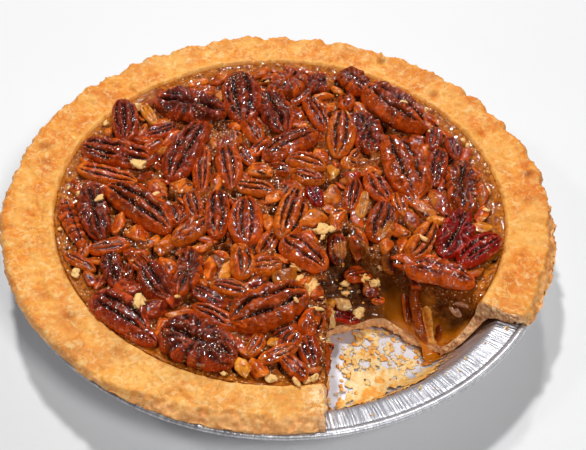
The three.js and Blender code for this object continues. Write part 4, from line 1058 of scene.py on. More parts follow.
TINT = {
    'plum': (116, 36, 16), 'dark': (130, 43, 9), 'red': (154, 54, 10), 'ruby': (132, 12, 8), 'amber': (178, 68, 10),
    'gold': (212, 120, 24), 'cream': (228, 174, 100), 'jelly': (160, 80, 14), 'flesh': (176, 112, 78),
}
LIGHT = {
    'plum': (194, 72, 24), 'dark': (210, 84, 16), 'red': (228, 96, 18), 'ruby': (186, 42, 12), 'amber': (238, 122, 28),
    'gold': (242, 162, 60), 'cream': (246, 204, 140), 'jelly': (204, 120, 28), 'flesh': (226, 172, 132),
}


def shard(length, width, seed, nu, nv):
    """A chopped piece of nut: skin on one side, flat broken faces on the others."""
    rng = np.random.default_rng(seed + 77)
    u = -np.cos(np.linspace(0, math.pi, nu + 2)[1:-1])
    U, T = np.meshgrid(u, np.linspace(0, TAU, nv, endpoint=False), indexing="ij")
    w = np.sqrt(1 - U ** 2)
    d = np.stack([U.ravel(), (w * np.cos(T)).ravel(), (w * np.sin(T)).ravel()], -1)
    d = np.concatenate([[[-1.0, 0, 0]], d, [[1.0, 0, 0]]])
    planes = rng.normal(size=(8, 3))
    planes /= np.linalg.norm(planes, axis=1)[:, None]
    planes[0] = (0.15 * rng.normal(), 0.3 * rng.normal(), 1.0)
    planes[0] /= np.linalg.norm(planes[0])
    dist = 0.50 + 0.38 * rng.random(8)
    dist[0] = 0.75
    lean = np.maximum(d @ planes.T / dist[None], 0) ** 11
    total = lean.sum(1) + (1 / 1.02) ** 11
    r = total ** (-1 / 11)
    V = d * r[:, None] * np.array([length, width, width * 0.74]) / 2
    Q = V + np.array([seed * 13.7, seed * 7.1, seed * 3.3])
    lump = fbm(Q, 0.30, 2, 11)
    crease = 1 - 2.2 * np.abs(noise(Q * np.array([0.5, 1.0, 1.0]), 0.5, 9))
    fine = fbm(Q, 0.9, 2, 13)
    V = V * (1 + 0.16 * lump + 0.05 * crease + 0.06 * fine)[:, None]
    share = lean / total[:, None]
    pale = share[:, 1:4].sum(1) * smooth(-0.5, 0.2, lump + 0.3) * 0.8
    # darker in the creases: partly the darker skin there, partly painted shade
    dark = 0.8 * smooth(-0.1, -0.9, crease) * (1 - pale)
    cols = np.arange(nv)
    last = len(V) - 1
    b = 1 + (nu - 1) * nv
    t0 = np.stack([np.zeros(nv, int), 1 + (cols + 1) % nv, 1 + cols], -1)
    t1 = np.stack([np.full(nv, last), b + cols, b + (cols + 1) % nv], -1)
    rim = smooth(0.5, 0.0, share.max(1) - 0.35)
    return V, grid_faces(nu, nv, wrap=True, offset=1), np.concatenate([t0, t1]), dict(
        dark=np.clip(dark, 0, 1), pale=np.clip(pale, 0, 1), rim=np.clip(rim, 0, 1), dull=0 * dark)


def nut_shape(length, width, kind, seed, bend, nu, nv):
    """Points of one pecan piece in its own frame, with groove, pale, rim and dull masks for its colours."""
    if kind == 'chip':
        return shard(length, width, seed, nu, nv)
    h = [hash1(seed, k) for k in range(20)]
    u = -np.cos(np.linspace(0, math.pi, nu + 2)[1:-1])
    u = 0.75 * u + 0.25 * np.linspace(-1, 1, nu + 2)[1:-1]
    n_top = int(nv * 0.76)
    th = np.concatenate([np.linspace(0, math.pi, n_top, endpoint=False), np.linspace(math.pi, TAU, nv - n_top, endpoint=False)])
    U, T = np.meshgrid(u, th, indexing="ij")
    c, s = np.cos(T), np.sin(T)
    au = np.abs(U)
    seedv = np.array([seed * 13.7, seed * 7.1, seed * 3.3])
    xm, ym = U * length / 2, c * width / 2
    P = np.stack([xm.ravel(), ym.ravel(), 0 * xm.ravel()], -1)
    Q = P + seedv

    def field(q, f, o=2, k=0):
        return fbm(q, f, o, k).reshape(U.shape)

    wob = noise(Q * np.array([1, 0.15, 1]), 0.15, 5).reshape(U.shape)
    wob2 = noise(Q * np.array([1, 0.15, 1]), 0.33, 6).reshape(U.shape)
    topm = (s > -1e-6).astype(float)
    # ridged noise that makes folds across the nut, 1 on a crest and -1 in a crease
    across = 1 - 2.2 * np.abs(noise(Q * np.array([1.0, 0.42, 1.0]), 0.36 + 0.10 * h[12], 7).reshape(U.shape))
    across2 = 1 - 2.2 * np.abs(noise(Q * np.array([1.0, 0.6, 1.0]), 0.8, 8).reshape(U.shape))
    along = 1 - 2.2 * np.abs(noise(Q * np.array([0.28, 1.0, 1.0]), 0.62, 9).reshape(U.shape))
    lump = field(Q, 0.20, 2, 11)
    fine = field(Q, 0.75, 3, 13)

    tip, stem = 1.9 + 0.7 * h[0], 2.6 + 0.9 * h[1]
    if kind == 'chip':
        tip, stem = 2.6 + h[0], 3.0 + h[1]
    outline = np.where(U > 0, 1 - au ** tip, 1 - au ** stem) ** 0.54
    notch = 0.055 * across + 0.05 * lump
    if kind == 'creased':
        notch = 0.075 * across + 0.06 * lump
    if kind == 'chip':
        notch = 0.26 * noise(Q, 0.17, 31).reshape(U.shape) + 0.14 * noise(Q, 0.4, 32).reshape(U.shape)
    outline = outline * (1 + notch + 0.05 * np.sin(2.6 * U + 6 * h[2]))
    v = np.sign(c) * np.abs(c) ** 0.95
    H = width * {'ridged': 0.33, 'creased': 0.29, 'edge': 0.37, 'worm': 0.36, 'chip': 0.36}[kind]
    D = width * {'ridged': 0.22, 'creased': 0.25, 'edge': 0.30, 'worm': 0.3, 'chip': 0.30}[kind]
    dome = np.clip(1 - np.abs(v) ** 2.3, 0, 1) ** 0.5
    hgt = np.clip(1 - au ** (3.0 + h[13]), 0, 1) ** 0.5
    # the dark mask darkens grooves and creases: partly the darker skin there, partly painted shade
    dark = np.zeros_like(U)
    pale = np.zeros_like(U)
    rim = smooth(0.62, 1.0, np.abs(v))
    dull = np.zeros_like(U)

    def lobes(marks, depth, sigma):
        """Rounded fingers between grooves at the given v, and the groove mask."""
        full = np.ones_like(U)
        mask = np.zeros_like(U)
        for k, (g, share) in enumerate(marks):
            pos = g * (1 - 0.28 * U ** 2) + 0.075 * wob + 0.055 * wob2 + 0.04 * lump
            d = np.abs(v - pos)
            live = np.clip(1.02 - au ** 6, 0, 1) * share * np.clip(0.72 + 0.55 * wob2 + 0.3 * across, 0.15, 1.1)
            wide = np.exp(-(d / (sigma * 2.6)) ** 1.5) * live
            thin = np.exp(-(d / (sigma * 0.9)) ** 2) * live
            full = full * (1 - depth * 0.55 * wide - depth * 0.60 * thin)
            mask = np.maximum(mask, np.clip(thin * 1.25 + 0.35 * wide, 0, 1))
        return full, mask

    if kind == 'ridged':
        g = 0.34 + 0.07 * (h[3] - 0.5)
        marks = [(-g, 1), (g, 1)]
        if h[5] > 0.7:
            marks.append(((g + 0.36) * (1 if h[6] > 0.5 else -1), 0.5))
        if h[7] > 0.85:
            marks.append((0.02, 0.3))
        full, mask = lobes(marks, 0.66, 0.075 + 0.02 * h[4]) if seed != 56 else lobes([(-0.30, 1.1), (0.34, 1.1)], 1.0, 0.13)
        z = H * dome * full
        z = z + width * (0.046 * across * smooth(0.05, 0.5, np.abs(v)) + 0.024 * across2 + 0.008 * along + 0.020 * fine)
        dark = mask * 1.0 + 0.25 * smooth(-0.2, -0.9, across) * smooth(0.2, 0.6, np.abs(v))
    elif kind == 'creased':
        full, mask = lobes([(0.0, 1.1)], 0.85, 0.075)
        fade = smooth(1.0, 0.55, au)
        full = 1 - (1 - full) * (0.35 + 0.65 * fade)
        ang = np.arctan2(ym * 1.25, xm * 0.8)
        count = 9 + int(5 * h[15])
        fan = np.cos(ang * count + 2.2 * wob + 1.2 * noise(Q, 0.3, 35).reshape(U.shape) + 6 * h[16])
        fan = np.sign(fan) * np.abs(fan) ** 0.65
        out = smooth(0.12, 0.45, np.hypot(U * 0.75, v))
        lumps, tag = cells(Q, 2.6, 17)
        lumps, tag = lumps.reshape(U.shape), tag.reshape(U.shape)
        inner = smooth(0.86, 0.55, np.abs(v)) * smooth(0.06, 0.2, np.abs(v))
        knob = np.sqrt(np.clip(1 - (lumps / 1.9) ** 2, 0, 1)) * (0.3 + 0.7 * tag)
        curl = np.exp(-((np.abs(v) - 0.80) / 0.17) ** 2)
        z = H * (dome * full * 0.88 + 0.20 * curl * dome ** 0.5)
        z = z + width * (0.020 * (knob - 0.4) * inner + 0.032 * fan * out + 0.034 * across + 0.022 * across2 + 0.020 * fine)
        outline = outline * (1 + 0.035 * fan)
        dark = mask * (0.4 + 0.6 * fade) + 0.25 * inner * smooth(0.55, 0.1, knob) + 0.55 * smooth(-0.35, -1.0, fan) * out
        dull = inner * 0.6 + 0.3 * mask
    elif kind == 'edge':
        marks = [(0.30 - 0.25 * h[3], 1.0), (-0.42 - 0.12 * h[4], 0.8)]
        if h[5] > 0.85:
            marks.append((0.68, 0.6))
        full, mask = lobes(marks, 0.74, 0.085)
        z = H * dome * full
        z = z + width * (0.046 * across + 0.022 * across2 + 0.008 * along + 0.020 * fine)
        dark = mask + 0.25 * smooth(-0.2, -0.9, across)
    elif kind == 'worm':
        k = 2.4 + length * 0.16
        ring = np.sin(U * k * math.pi + 1.4 * wob + 4 * h[8] + 0.5 * v)
        ring = np.sign(ring) * np.abs(ring) ** 0.7
        full, mask = lobes([(0.30, 0.8)], 0.5, 0.08)
        z = H * dome * full + width * (0.05 * ring + 0.02 * fine)
        outline = outline * (1 + 0.05 * ring)
        dark = mask * 0.8 + 0.5 * smooth(0.0, -1.0, ring)
    else:
        facet = field(Q, 0.15, 2, 19)
        full, mask = lobes([(0.2 * (h[3] - 0.5), 0.7 if h[8] > 0.45 else 0.0)], 0.6, 0.09)
        jag = noise(Q, 0.30, 37).reshape(U.shape)
        z = H * dome * full * (1 + 0.55 * facet + 0.30 * jag) + width * (0.07 * across + 0.04 * across2 + 0.05 * fine)
        dark = mask * 0.8 + 0.45 * smooth(-0.1, -0.9, across)
        if h[9] > 0.55:
            pale = smooth(0.12, 0.42, facet + 0.15 * fine) * 0.9
    z = np.where(s >= -1e-6, z, -D * np.abs(s) ** 0.9 * (1 + 0.15 * lump))
    z = z * np.clip(hgt * 1.04, 0, 1)
    X = U * length / 2 * (1 + 0.02 * lump)
    Y = v * outline * width / 2
    z = z * (1 + 0.16 * lump)
    # bent along the length, ends dip a little, one side higher than the other
    Y = Y + bend * (U ** 2 - 0.4)
    z = z - 0.06 * width * (U ** 2) + 0.05 * width * (h[14] - 0.5) * v * topm
    if kind in ('ridged', 'creased', 'edge', 'worm'):
        chipn = noise(Q + 50, 0.15, 33).reshape(U.shape)
        if h[10] > 0.84:
            pale = np.maximum(pale, smooth(0.45, 0.72, chipn) * 0.9)
        pale = np.maximum(pale, smooth(0.93, 1.0, au) * (0.5 if h[11] > 0.7 else 0.0))
    end0 = np.array([-length / 2 * 1.0, bend * 0.6, -0.06 * width])
    end1 = np.array([length / 2 * 1.0, bend * 0.6, -0.06 * width])
    V = np.concatenate([end0[None], np.stack([X.ravel(), Y.ravel(), z.ravel()], -1), end1[None]])
    cols = np.arange(nv)
    last = len(V) - 1
    quads = grid_faces(nu, nv, wrap=True, offset=1, flip=False)
    t0 = np.stack([np.zeros(nv, int), 1 + (cols + 1) % nv, 1 + cols], -1)
    b = 1 + (nu - 1) * nv
    t1 = np.stack([np.full(nv, last), b + cols, b + (cols + 1) % nv], -1)
    pad = lambda m: np.clip(np.concatenate([[m[0].mean()], m.ravel(), [m[-1].mean()]]), 0, 1)
    tipm = smooth(0.55, 1.0, au)
    return V, quads, np.concatenate([t0, t1]), dict(dark=pad(dark), pale=pad(pale), rim=pad(np.maximum(rim, 0.8 * tipm)), dull=pad(dull))


def place_matrix(row):
    x, y, length, width, heading, z, pitch, roll = row[:8]
    rz = Matrix.Rotation(math.radians(heading), 3, 'Z')
    ry = Matrix.Rotation(math.radians(-pitch), 3, 'Y')
    rx = Matrix.Rotation(math.radians(roll), 3, 'X')
    return np.array(rz @ ry @ rx), np.array([x, y, z], float)


def nut_tint(shade, seed, count):
    jit = 0.82 + 0.36 * hash1(seed, 21)
    warm = np.array([1.0, 0.88 + 0.24 * hash1(seed, 22), 0.9 + 0.25 * hash1(seed, 23)])
    low = np.array(srgb(*TINT[shade])) * jit * warm
    high = np.array(srgb(*LIGHT[shade])) * (0.85 + 0.3 * hash1(seed, 24))
    return np.repeat(low[None], count, 0), np.repeat(high[None], count, 0)


def build_nuts():
    for i, row in enumerate(LAYOUT):
        length, width, kind, bend, shade = row[2], row[3], row[8], row[9], row[10]
        nu, nv = (72, 58) if length > 27 else ((56, 50) if length > 20 else (44, 42))
        V, q, t, masks = nut_shape(length * 1.05, width * 1.06, 'worm' if i == 38 else kind, i + 1, bend, nu, nv)
        R, p = place_matrix(row)
        low, high = nut_tint(shade, i + 1, len(V))
        if i == 55:                        # stuck on the slumped face under a coat of syrup
            masks['dark'] = masks['dark'] * 0.45
            p = p - np.array([0, 0, 1.2])
            w = V[:, 1] / (width * 0.53)
            strip = np.clip(smooth(0.36, 0.24, np.abs(w + 0.12)) + 0.8 * smooth(0.22, 0.12, np.abs(w - 0.74)) * smooth(4, -2, V[:, 0]), 0, 1)
            masks['dark'] = masks['dark'] * (1 - strip)
            strip = strip[:, None]
            low = np.array(srgb(134, 48, 8))[None] * (1 - strip) + np.array(srgb(236, 148, 48))[None] * strip
            high = np.array(srgb(178, 82, 16))[None] * (1 - strip) + np.array(srgb(255, 190, 98))[None] * strip
        obj = make(f"pecan_half_{i + 1:02d}", V @ R.T + p, [q, t], PECAN, dict(masks, tint=low, tint2=high))
        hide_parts(f"pecan_{i + 1:02d}")
        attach(obj, "root")
    bag = Bag()
    for i, row in enumerate(CHOPPED):
        length, width, kind, bend, shade = row[2], row[3], row[8], row[9], row[10]
        V, q, t, masks = nut_shape(length * 1.08, width * 1.1, kind, 200 + i, bend, 23, 23)
        R, p = place_matrix(row)
        if shade in ('gold', 'cream', 'jelly', 'flesh'):
            masks['pale'] = masks['pale'] * 0
            masks['dark'] = masks['dark'] * 0.4
        low, high = nut_tint(shade, 200 + i, len(V))
        bag.add(V @ R.T + p, q, t, tint=low, tint2=high, **masks)
    obj = bag.build("chopped_pecans", PECAN)
    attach(obj, "root")

    # small bits wherever a gap is left between the larger pieces
    step = 0.7
    gx, gy = np.meshgrid(np.arange(-90, 90, step), np.arange(-90, 90, step))
    taken = nut_near(gx, gy) < 1.0
    taken |= np.hypot(gx, gy) > 87.0
    taken |= (gx > CUT_X - 1.5) & (gy < head_y(gx) + 1.5)
    for hx, hy, hr in HOLES:
        taken |= np.hypot(gx - hx, gy - hy) < hr + 1.2
    rng = np.random.default_rng(5)
    bag = Bag()
    placed = 0
    order = rng.permutation(gx.size)
    for size in (12.0, 10.0, 8.0, 6.5):
        for k in order[::3]:
            if placed >= 116:
                break
            x, y = gx.flat[k], gy.flat[k]
            if taken.flat[k] or rng.random() < 0.12:
                continue
            length = size * (0.85 + 0.3 * rng.random())
            width = length * (0.45 + 0.30 * rng.random())
            j, i = divmod(int(k), gx.shape[1])
            w = int(length / 2 / step) + 3
            win = (slice(max(j - w, 0), j + w + 1), slice(max(i - w, 0), i + w + 1))
            dx, dy, here = gx[win] - x, gy[win] - y, taken[win]
            best = None
            for turn in range(5):
                a = rng.random() * math.pi
                u = (dx * math.cos(a) + dy * math.sin(a)) / (length / 2)
                v = (-dx * math.sin(a) + dy * math.cos(a)) / (width / 2)
                inside = u * u + v * v < 1
                bad = here[inside].mean() if inside.any() else 1
                if best is None or bad < best[0]:
                    best = (bad, a)
            if best[0] > 0.22:
                continue
            ca, sa = math.cos(best[1]), math.sin(best[1])
            taken[win] |= ((dx * ca + dy * sa) / (length / 2 + 0.7)) ** 2 + ((-dx * sa + dy * ca) / (width / 2 + 0.7)) ** 2 < 1
            shade = ('amber', 'red', 'dark', 'plum', 'amber', 'red', 'dark', 'amber')[int(rng.random() * 8)]
            kind = ('chip', 'edge', 'chip', 'chip')[int(rng.random() * 4)]
            row = [x, y, length, width, math.degrees(best[1]), 31.3 + 1.5 * rng.random(), 34 * (rng.random() - 0.5), 60 * (rng.random() - 0.5)]
            V, q, t, masks = nut_shape(length, width, kind, 400 + placed, 0.3, 16, 18)
            R, p = place_matrix(row)
            low, high = nut_tint(shade, 400 + placed, len(V))
            bag.add(V @ R.T + p, q, t, tint=low, tint2=high, **masks)
            placed += 1
    obj = bag.build("pecan_bits", PECAN)
    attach(obj, "root")


# ------------------------------------------------------------------ filling
HOLES = [(-45, 0.3, 2.0), (-66.5, -8.5, 1.8), (-58, -16, 1.5), (-52.5, -21.5, 1.7), (-39, 15, 2.0), (-38.5, 12, 1.4), (-19.5, 3.5, 1.4),
         (-12.5, -0.8, 1.4), (-17, 20, 1.5), (-3.2, 6.2, 1.0), (14.5, 6.8, 1.9), (-3.5, -6, 1.2), (-3, 40, 2.2), (-12.5, 33, 1.9),
         (-9, 42, 1.3), (-28, 43, 1.8), (-46, 43, 1.6), (0.5, -25, 2.1), (-7.5, -49, 1.6), (-19, -59, 1.2), (-43, -53, 2.0),
         (-61.5, -50.5, 2.0), (-62, 28.5, 1.6), (-79, -39, 1.4), (-83, -30, 1.3), (43, 49, 2.4), (47, 45, 1.8), (61, 11, 2.0),
         (-33, -54, 1.5), (-13, -84, 1.4), (10, -81, 1.8), (16.5, 39, 1.4), (73, 25.5, 1.3), (36, 30, 1.8), (-19, 32, 1.2),
         (9.5, -3, 1.8), (27, -15, 2.0), (-70, -28, 1.4), (50, -11, 1.5), (20, 54, 1.4), (12.7, 43.5, 1.0), (85, -28, 1.4),
         (0.5, 61, 1.4), (-21, -27, 1.8), (-59, -67, 1.6)]


def nut_near(x, y):
    """How close a point is to the nearest nut outline: 1 on the outline, under 1 inside."""
    best = np.full(x.shape, 9.0)
    for row in LAYOUT[:-1] + [c for c in CHOPPED if c[5] > 30.5]:
        a = math.radians(row[4])
        dx, dy = x - row[0], y - row[1]
        u = (dx * math.cos(a) + dy * math.sin(a)) / (row[2] / 2)
        v = (-dx * math.sin(a) + dy * math.cos(a)) / (row[3] / 2)
        best = np.minimum(best, np.sqrt(np.abs(u) ** 2.4 + np.abs(v) ** 2.4) ** 0.83)
    return best


def top_height(x, y):
    r = np.hypot(x, y)
    P = np.stack([x, y, np.zeros_like(x)], -1)
    z = 31.4 + 1.0 * (1 - (r / 88) ** 2)
    z = z + 0.9 * fbm(P, 0.10, 2, 101) + 0.42 * fbm(P, 0.33, 3, 103)
    d1, t1 = cells(P, 1.9, 105)
    d2, t2 = cells(P, 1.05, 109)
    d3, t3 = cells(P, 4.2, 113)
    dome = np.sqrt(np.clip(1 - (d1 / 0.95) ** 2, 0, 1)) * (0.45 * t1)
    dome2 = np.sqrt(np.clip(1 - (d2 / 0.55) ** 2, 0, 1)) * (0.22 * t2)
    pop = -np.clip(1 - (d3 / (0.9 + 0.8 * t3)) ** 2, 0, 1) * (1.6 * t3) * (t3 > 0.45)
    ringz = smooth(83.5, 88.0, r)
    z = z + (dome + dome2 + pop) * (1 - 0.75 * ringz)
    near = nut_near(x, y)
    z = z + 0.9 * np.exp(-((near - 1.0) / 0.16) ** 2) * (1 - ringz) - 0.7 * smooth(1.05, 1.5, near) * (1 - ringz) * smooth(0, 0.6, fbm(P, 0.16, 2, 131) + 0.2)
    hole_and_shade = np.zeros_like(x)
    for i, (hx, hy, hr) in enumerate(HOLES):
        d = np.hypot((x - hx) * (0.8 + 0.4 * hash1(i, 5)), (y - hy) * (0.8 + 0.4 * hash1(i, 6)))
        d = d + 0.35 * fbm(P, 0.5, 2, 141)
        g = smooth(hr * 1.15, hr * 0.45, d)
        hole_and_shade = np.maximum(hole_and_shade, g)
    extra = smooth(0.42, 0.60, fbm(P, 0.13, 2, 151)) * smooth(1.1, 1.35, near) * (1 - ringz)
    # painted shade: a sunken, darkened ring along parts of the nut outlines
    pit = np.exp(-((near - 1.06) / 0.10) ** 2) * smooth(-0.08, 0.28, fbm(P + 60, 0.17, 2, 153)) * (1 - ringz)
    hole_and_shade = np.maximum(np.maximum(hole_and_shade, extra * 0.7), pit * 0.95)
    z = z - 6.0 * hole_and_shade
    edge = 31.0 + 0.25 * fbm(P, 0.2, 2, 107) + 0.9 * smooth(88, 91.2, r)
    z = z * (1 - ringz) + (edge + 0.20 * dome + 0.3 * dome2) * ringz
    return z, hole_and_shade, ringz


def slump_height(x, y):
    P = np.stack([x, y, np.zeros_like(x)], -1)
    hy, ty = head_y(x), toe_y(x)
    s = np.clip((hy - y) / np.maximum(hy - ty, 0.5), 0, 1)
    depth = hy - y
    top, _, _ = top_height(x, y)
    calm = smooth(0.0, 1.2, depth)
    top = top * (1 - calm) + (30.6 + 0.5 * noise(P, 0.12, 167)) * calm
    shelf = 21.5 - 1.2 * np.sin(x * 0.21) + 1.3 * fbm(P, 0.07, 2, 161)
    low = 7.4 + 0.5 * np.sin(x * 0.37) + np.interp(x, [64.0, 68.0, 71.0, 73.5, 77.0], [0.0, 1.6, 6.0, 9.5, 12.0])
    # steep face under the top nuts, then a sagging slope
    steep = smooth(0.0, 4.2 + 2.2 * smooth(44, 52, x), depth)
    body = shelf + (low - shelf) * np.clip((depth - 2.0) / np.maximum(hy - ty - 2.0, 1), 0, 1) ** 0.9
    lump = 0.8 * fbm(P, 0.16, 2, 163)
    jelly = smooth(46, 36, x) * smooth(0.02, 0.12, s)
    lump = lump * (1 + 0.9 * jelly) + 0.45 * fbm(P, 0.5, 2, 165) * jelly
    z = top * (1 - steep) + (body + lump) * steep
    # rounded toe
    dt = np.clip((y - ty) / 1.8, 0, 1)
    z = np.where((dt < 1) & (x < 67.0), 5.0 + (z - 5.0) * np.sqrt(np.clip(1 - (1 - dt) ** 2, 0, 1)), z)
    return z, steep, jelly, s


def build_filling():
    h = 0.62
    i0 = 180
    xs = CUT_X + (np.arange(0, 300) - i0) * h
    ys = np.arange(-92.0, 92.5, h)
    nx, ny = len(xs), len(ys)
    X, Y = np.meshgrid(xs, ys)
    apex = HEAD_Y0 - 0.6
    # rows meet the torn edge exactly
    ty = toe_y(X)
    right = X > CUT_X - 1e-6
    inx = right & (X < 76.4)
    snap = inx & (np.abs(Y - ty) < h / 2)
    Y = np.where(snap, ty, Y)
    R = np.hypot(X, Y)
    x, y = X.ravel(), Y.ravel()
    zt, hole_and_shade, ring = top_height(x, y)
    zs, steep, jelly, s = slump_height(x, y)
    zt, hole_and_shade, ring, zs, steep, jelly = (q.reshape(X.shape) for q in (zt, hole_and_shade, ring, zs, steep, jelly))
    in_wedge = right & (Y < head_y(X))
    # painted light: brighter along the thin lower edge and in a spot above the drip; painted shade: darker under the
    # overhanging nuts
    over = np.clip(Y - ty, 0, 60)
    painted_light = smooth(3.6, 0.6, over) * smooth(44, 54, X) + 0.55 * smooth(5.0, 1.0, over) * smooth(60, 68, X) + 0.14 * smooth(12, 3, over)
    painted_light = np.clip(painted_light + 0.9 * np.exp(-(((X - 62) / 5.5) ** 2 + ((Y + 42) / 5.5) ** 2)), 0, 1)
    painted_shade = smooth(7.5, 4.0, head_y(X) - Y) * 0.75 * smooth(36, 44, X) + 0.6 * smooth(11.0, 5.0, head_y(X) - Y) * smooth(58, 64, X)
    painted_shade = np.clip(painted_shade, 0, 1)
    cut_a = np.interp(R, RIGHT_CUT[:, 0], RIGHT_CUT[:, 1])
    wedge_ok = (Y >= ty - 1e-6) & (np.degrees(np.arctan2(Y, X)) >= cut_a - 0.3 - 90 * (R < 78))
    Z = np.where(in_wedge, zs, zt)
    wall_r = np.interp(Z, SIDE_IN[:, 1], SIDE_IN[:, 0])
    keep = (R < wall_r + 0.7) & (~right | wedge_ok)
    keep &= R < 91.8
    # left of the cut everything is kept, right of it only what is not taken out
    idx = -np.ones(X.shape, int)
    idx[keep] = np.arange(keep.sum())
    verts = [np.stack([X[keep], Y[keep], Z[keep]], -1)]
    A = {"ring": ring[keep], "hole_and_shade": hole_and_shade[keep] * (1 - (in_wedge[keep] * steep[keep])),
         "slump": (in_wedge * steep)[keep], "jelly": (in_wedge * jelly * steep)[keep],
         "painted_light": (in_wedge * painted_light)[keep], "painted_shade": (in_wedge * painted_shade)[keep]}
    n = int(keep.sum())
    # a second copy of the cut column for the slump side
    col = i0
    twin = {}
    rows = [j for j in range(ny) if ys[j] < apex and keep[j, col]]
    extra, ea = [], {k: [] for k in A}
    for j in range(ny):
        yy = Y[j, col]
        if ys[j] < apex and yy >= TOE[0, 1] - 1e-6:
            twin[j] = n + len(extra)
            extra.append((CUT_X, yy, zs[j, col]))
            ea["ring"].append(0.0); ea["hole_and_shade"].append(0.0)
            ea["slump"].append(steep[j, col]); ea["jelly"].append(jelly[j, col] * steep[j, col])
            ea["painted_light"].append(0.0); ea["painted_shade"].append(0.0)
    # the left copy of the column keeps the top's height
    zcol = zt[:, col]
    lefts = {}
    for j in range(ny):
        if ys[j] < apex and np.hypot(CUT_X, ys[j]) < 90.9:
            lefts[j] = n + len(extra)
            extra.append((CUT_X, ys[j], zcol[j]))
            ea["ring"].append(ring[j, col]); ea["hole_and_shade"].append(0.0); ea["slump"].append(0.0); ea["jelly"].append(0.0)
            ea["painted_light"].append(0.0); ea["painted_shade"].append(0.0)
    n += len(extra)
    # cells
    def corner(j, i, side):
        if i == col and ys[j] < apex:
            if side == "L":
                return lefts.get(j, -1)
            return twin.get(j, -1)
        return idx[j, i]
    quads = []
    J, I = np.meshgrid(np.arange(ny - 1), np.arange(nx - 1), indexing="ij")
    plain = (I + 1 != col) & (I != col)
    a, b, c, d = idx[:-1, :-1], idx[:-1, 1:], idx[1:, 1:], idx[1:, :-1]
    ok = plain & (a >= 0) & (b >= 0) & (c >= 0) & (d >= 0)
    quads.append(np.stack([a[ok], b[ok], c[ok], d[ok]], -1))
    special = []
    for j in range(ny - 1):
        for i, side in ((col - 1, "L"), (col, "R")):
            f = [corner(j, i, side), corner(j, i + 1, side), corner(j + 1, i + 1, side), corner(j + 1, i, side)]
            if min(f) >= 0:
                special.append(f)
    quads.append(np.array(special))
    # left cut face
    rowsj = sorted(lefts)
    M = 26
    wall_top = np.array([zcol[j] for j in rowsj])
    foot_z = np.interp(np.hypot(CUT_X, ys), [82.0, 85.0, 87.6, 89.4, 90.4, 91.0], [4.9, 9.5, 14.5, 19.5, 24.5, 28.0])
    wall_bot = np.array([zs[j, col] if j in twin else foot_z[j] for j in rowsj])
    g = np.linspace(0, 1, M + 1)
    wy = np.array([Y[j, col] for j in rowsj])
    WZ = wall_top[None] * (1 - g[:, None]) + wall_bot[None] * g[:, None]
    WY = wy[None] + 0 * WZ
    WX = CUT_X + 0 * WZ
    P = np.stack([WX.ravel(), WY.ravel(), WZ.ravel()], -1)
    bulge = (1.5 * fbm(P, 0.13, 2, 171) + 0.7 * fbm(P, 0.45, 3, 173)).reshape(WZ.shape)
    fade = np.sin(g * math.pi)[:, None] ** 0.5
    WX = WX + (bulge - 0.7) * fade
    base = n
    mid = np.stack([WX[1:-1].ravel(), WY[1:-1].ravel(), WZ[1:-1].ravel()], -1)
    n += len(mid)
    foot = []
    foot_idx = []
    for q, j in enumerate(rowsj):
        if j in twin:
            foot_idx.append(twin[j])
        else:
            foot_idx.append(n + len(foot))
            foot.append((CUT_X, wy[q], foot_z[j]))
    n += len(foot)
    L = len(rowsj)
    ring_idx = [np.array([lefts[j] for j in rowsj])] + [base + k * L + np.arange(L) for k in range(M - 1)] + [np.array(foot_idx)]
    for p, q in zip(ring_idx[:-1], ring_idx[1:]):
        quads.append(np.stack([p[:-1], q[:-1], q[1:], p[1:]], -1))
    verts.append(np.array(extra))
    verts.append(mid)
    if foot:
        verts.append(np.array(foot))
    for k in A:
        A[k] = np.concatenate([A[k], np.array(ea[k])])
    depth = (np.repeat(g[1:-1], L))
    A["ring"] = np.concatenate([A["ring"], np.zeros(len(mid) + len(foot))])
    # painted shade on the cut face where it bulges inward
    A["hole_and_shade"] = np.concatenate([A["hole_and_shade"], np.clip(-bulge[1:-1].ravel() * 0.35, 0, 0.6), np.zeros(len(foot))])
    A["slump"] = np.concatenate([A["slump"], smooth(0.25, 0.5, depth) * 0.8, np.ones(len(foot))])
    for k in ("jelly", "painted_light", "painted_shade"):
        A[k] = np.concatenate([A[k], np.zeros(len(mid) + len(foot))])
    V = np.concatenate(verts)
    F = np.concatenate(quads)
    # a skirt hangs from every open edge, so no edge shows light under it
    e = np.concatenate([F[:, [0, 1]], F[:, [1, 2]], F[:, [2, 3]], F[:, [3, 0]]])
    es = np.sort(e, 1)
    key = es[:, 0] * (len(V) + 1) + es[:, 1]
    uniq, first, counts = np.unique(key, return_index=True, return_counts=True)
    open_e = e[first[counts == 1]]
    ring_pts = np.unique(open_e)
    remap = {int(p): len(V) + k for k, p in enumerate(ring_pts)}
    low = V[ring_pts].copy()
    rr = np.hypot(low[:, 0], low[:, 1])
    toe_side = (low[:, 2] < 9)
    low[:, 2] = np.where(toe_side, 4.6, low[:, 2] - 3.0)
    low[:, :2] *= np.where(toe_side, 1.0, (rr - 1.4) / np.maximum(rr, 1))[:, None]
    V = np.concatenate([V, low])
    for k in A:
        A[k] = np.concatenate([A[k], A[k][ring_pts]])
    skirt = np.array([[p, q, remap[int(q)], remap[int(p)]] for p, q in open_e])[:, ::-1]
    obj = make("caramel_filling", V, np.concatenate([F, skirt]), CARAMEL, A)
    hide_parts("filling")
    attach(obj, "root")


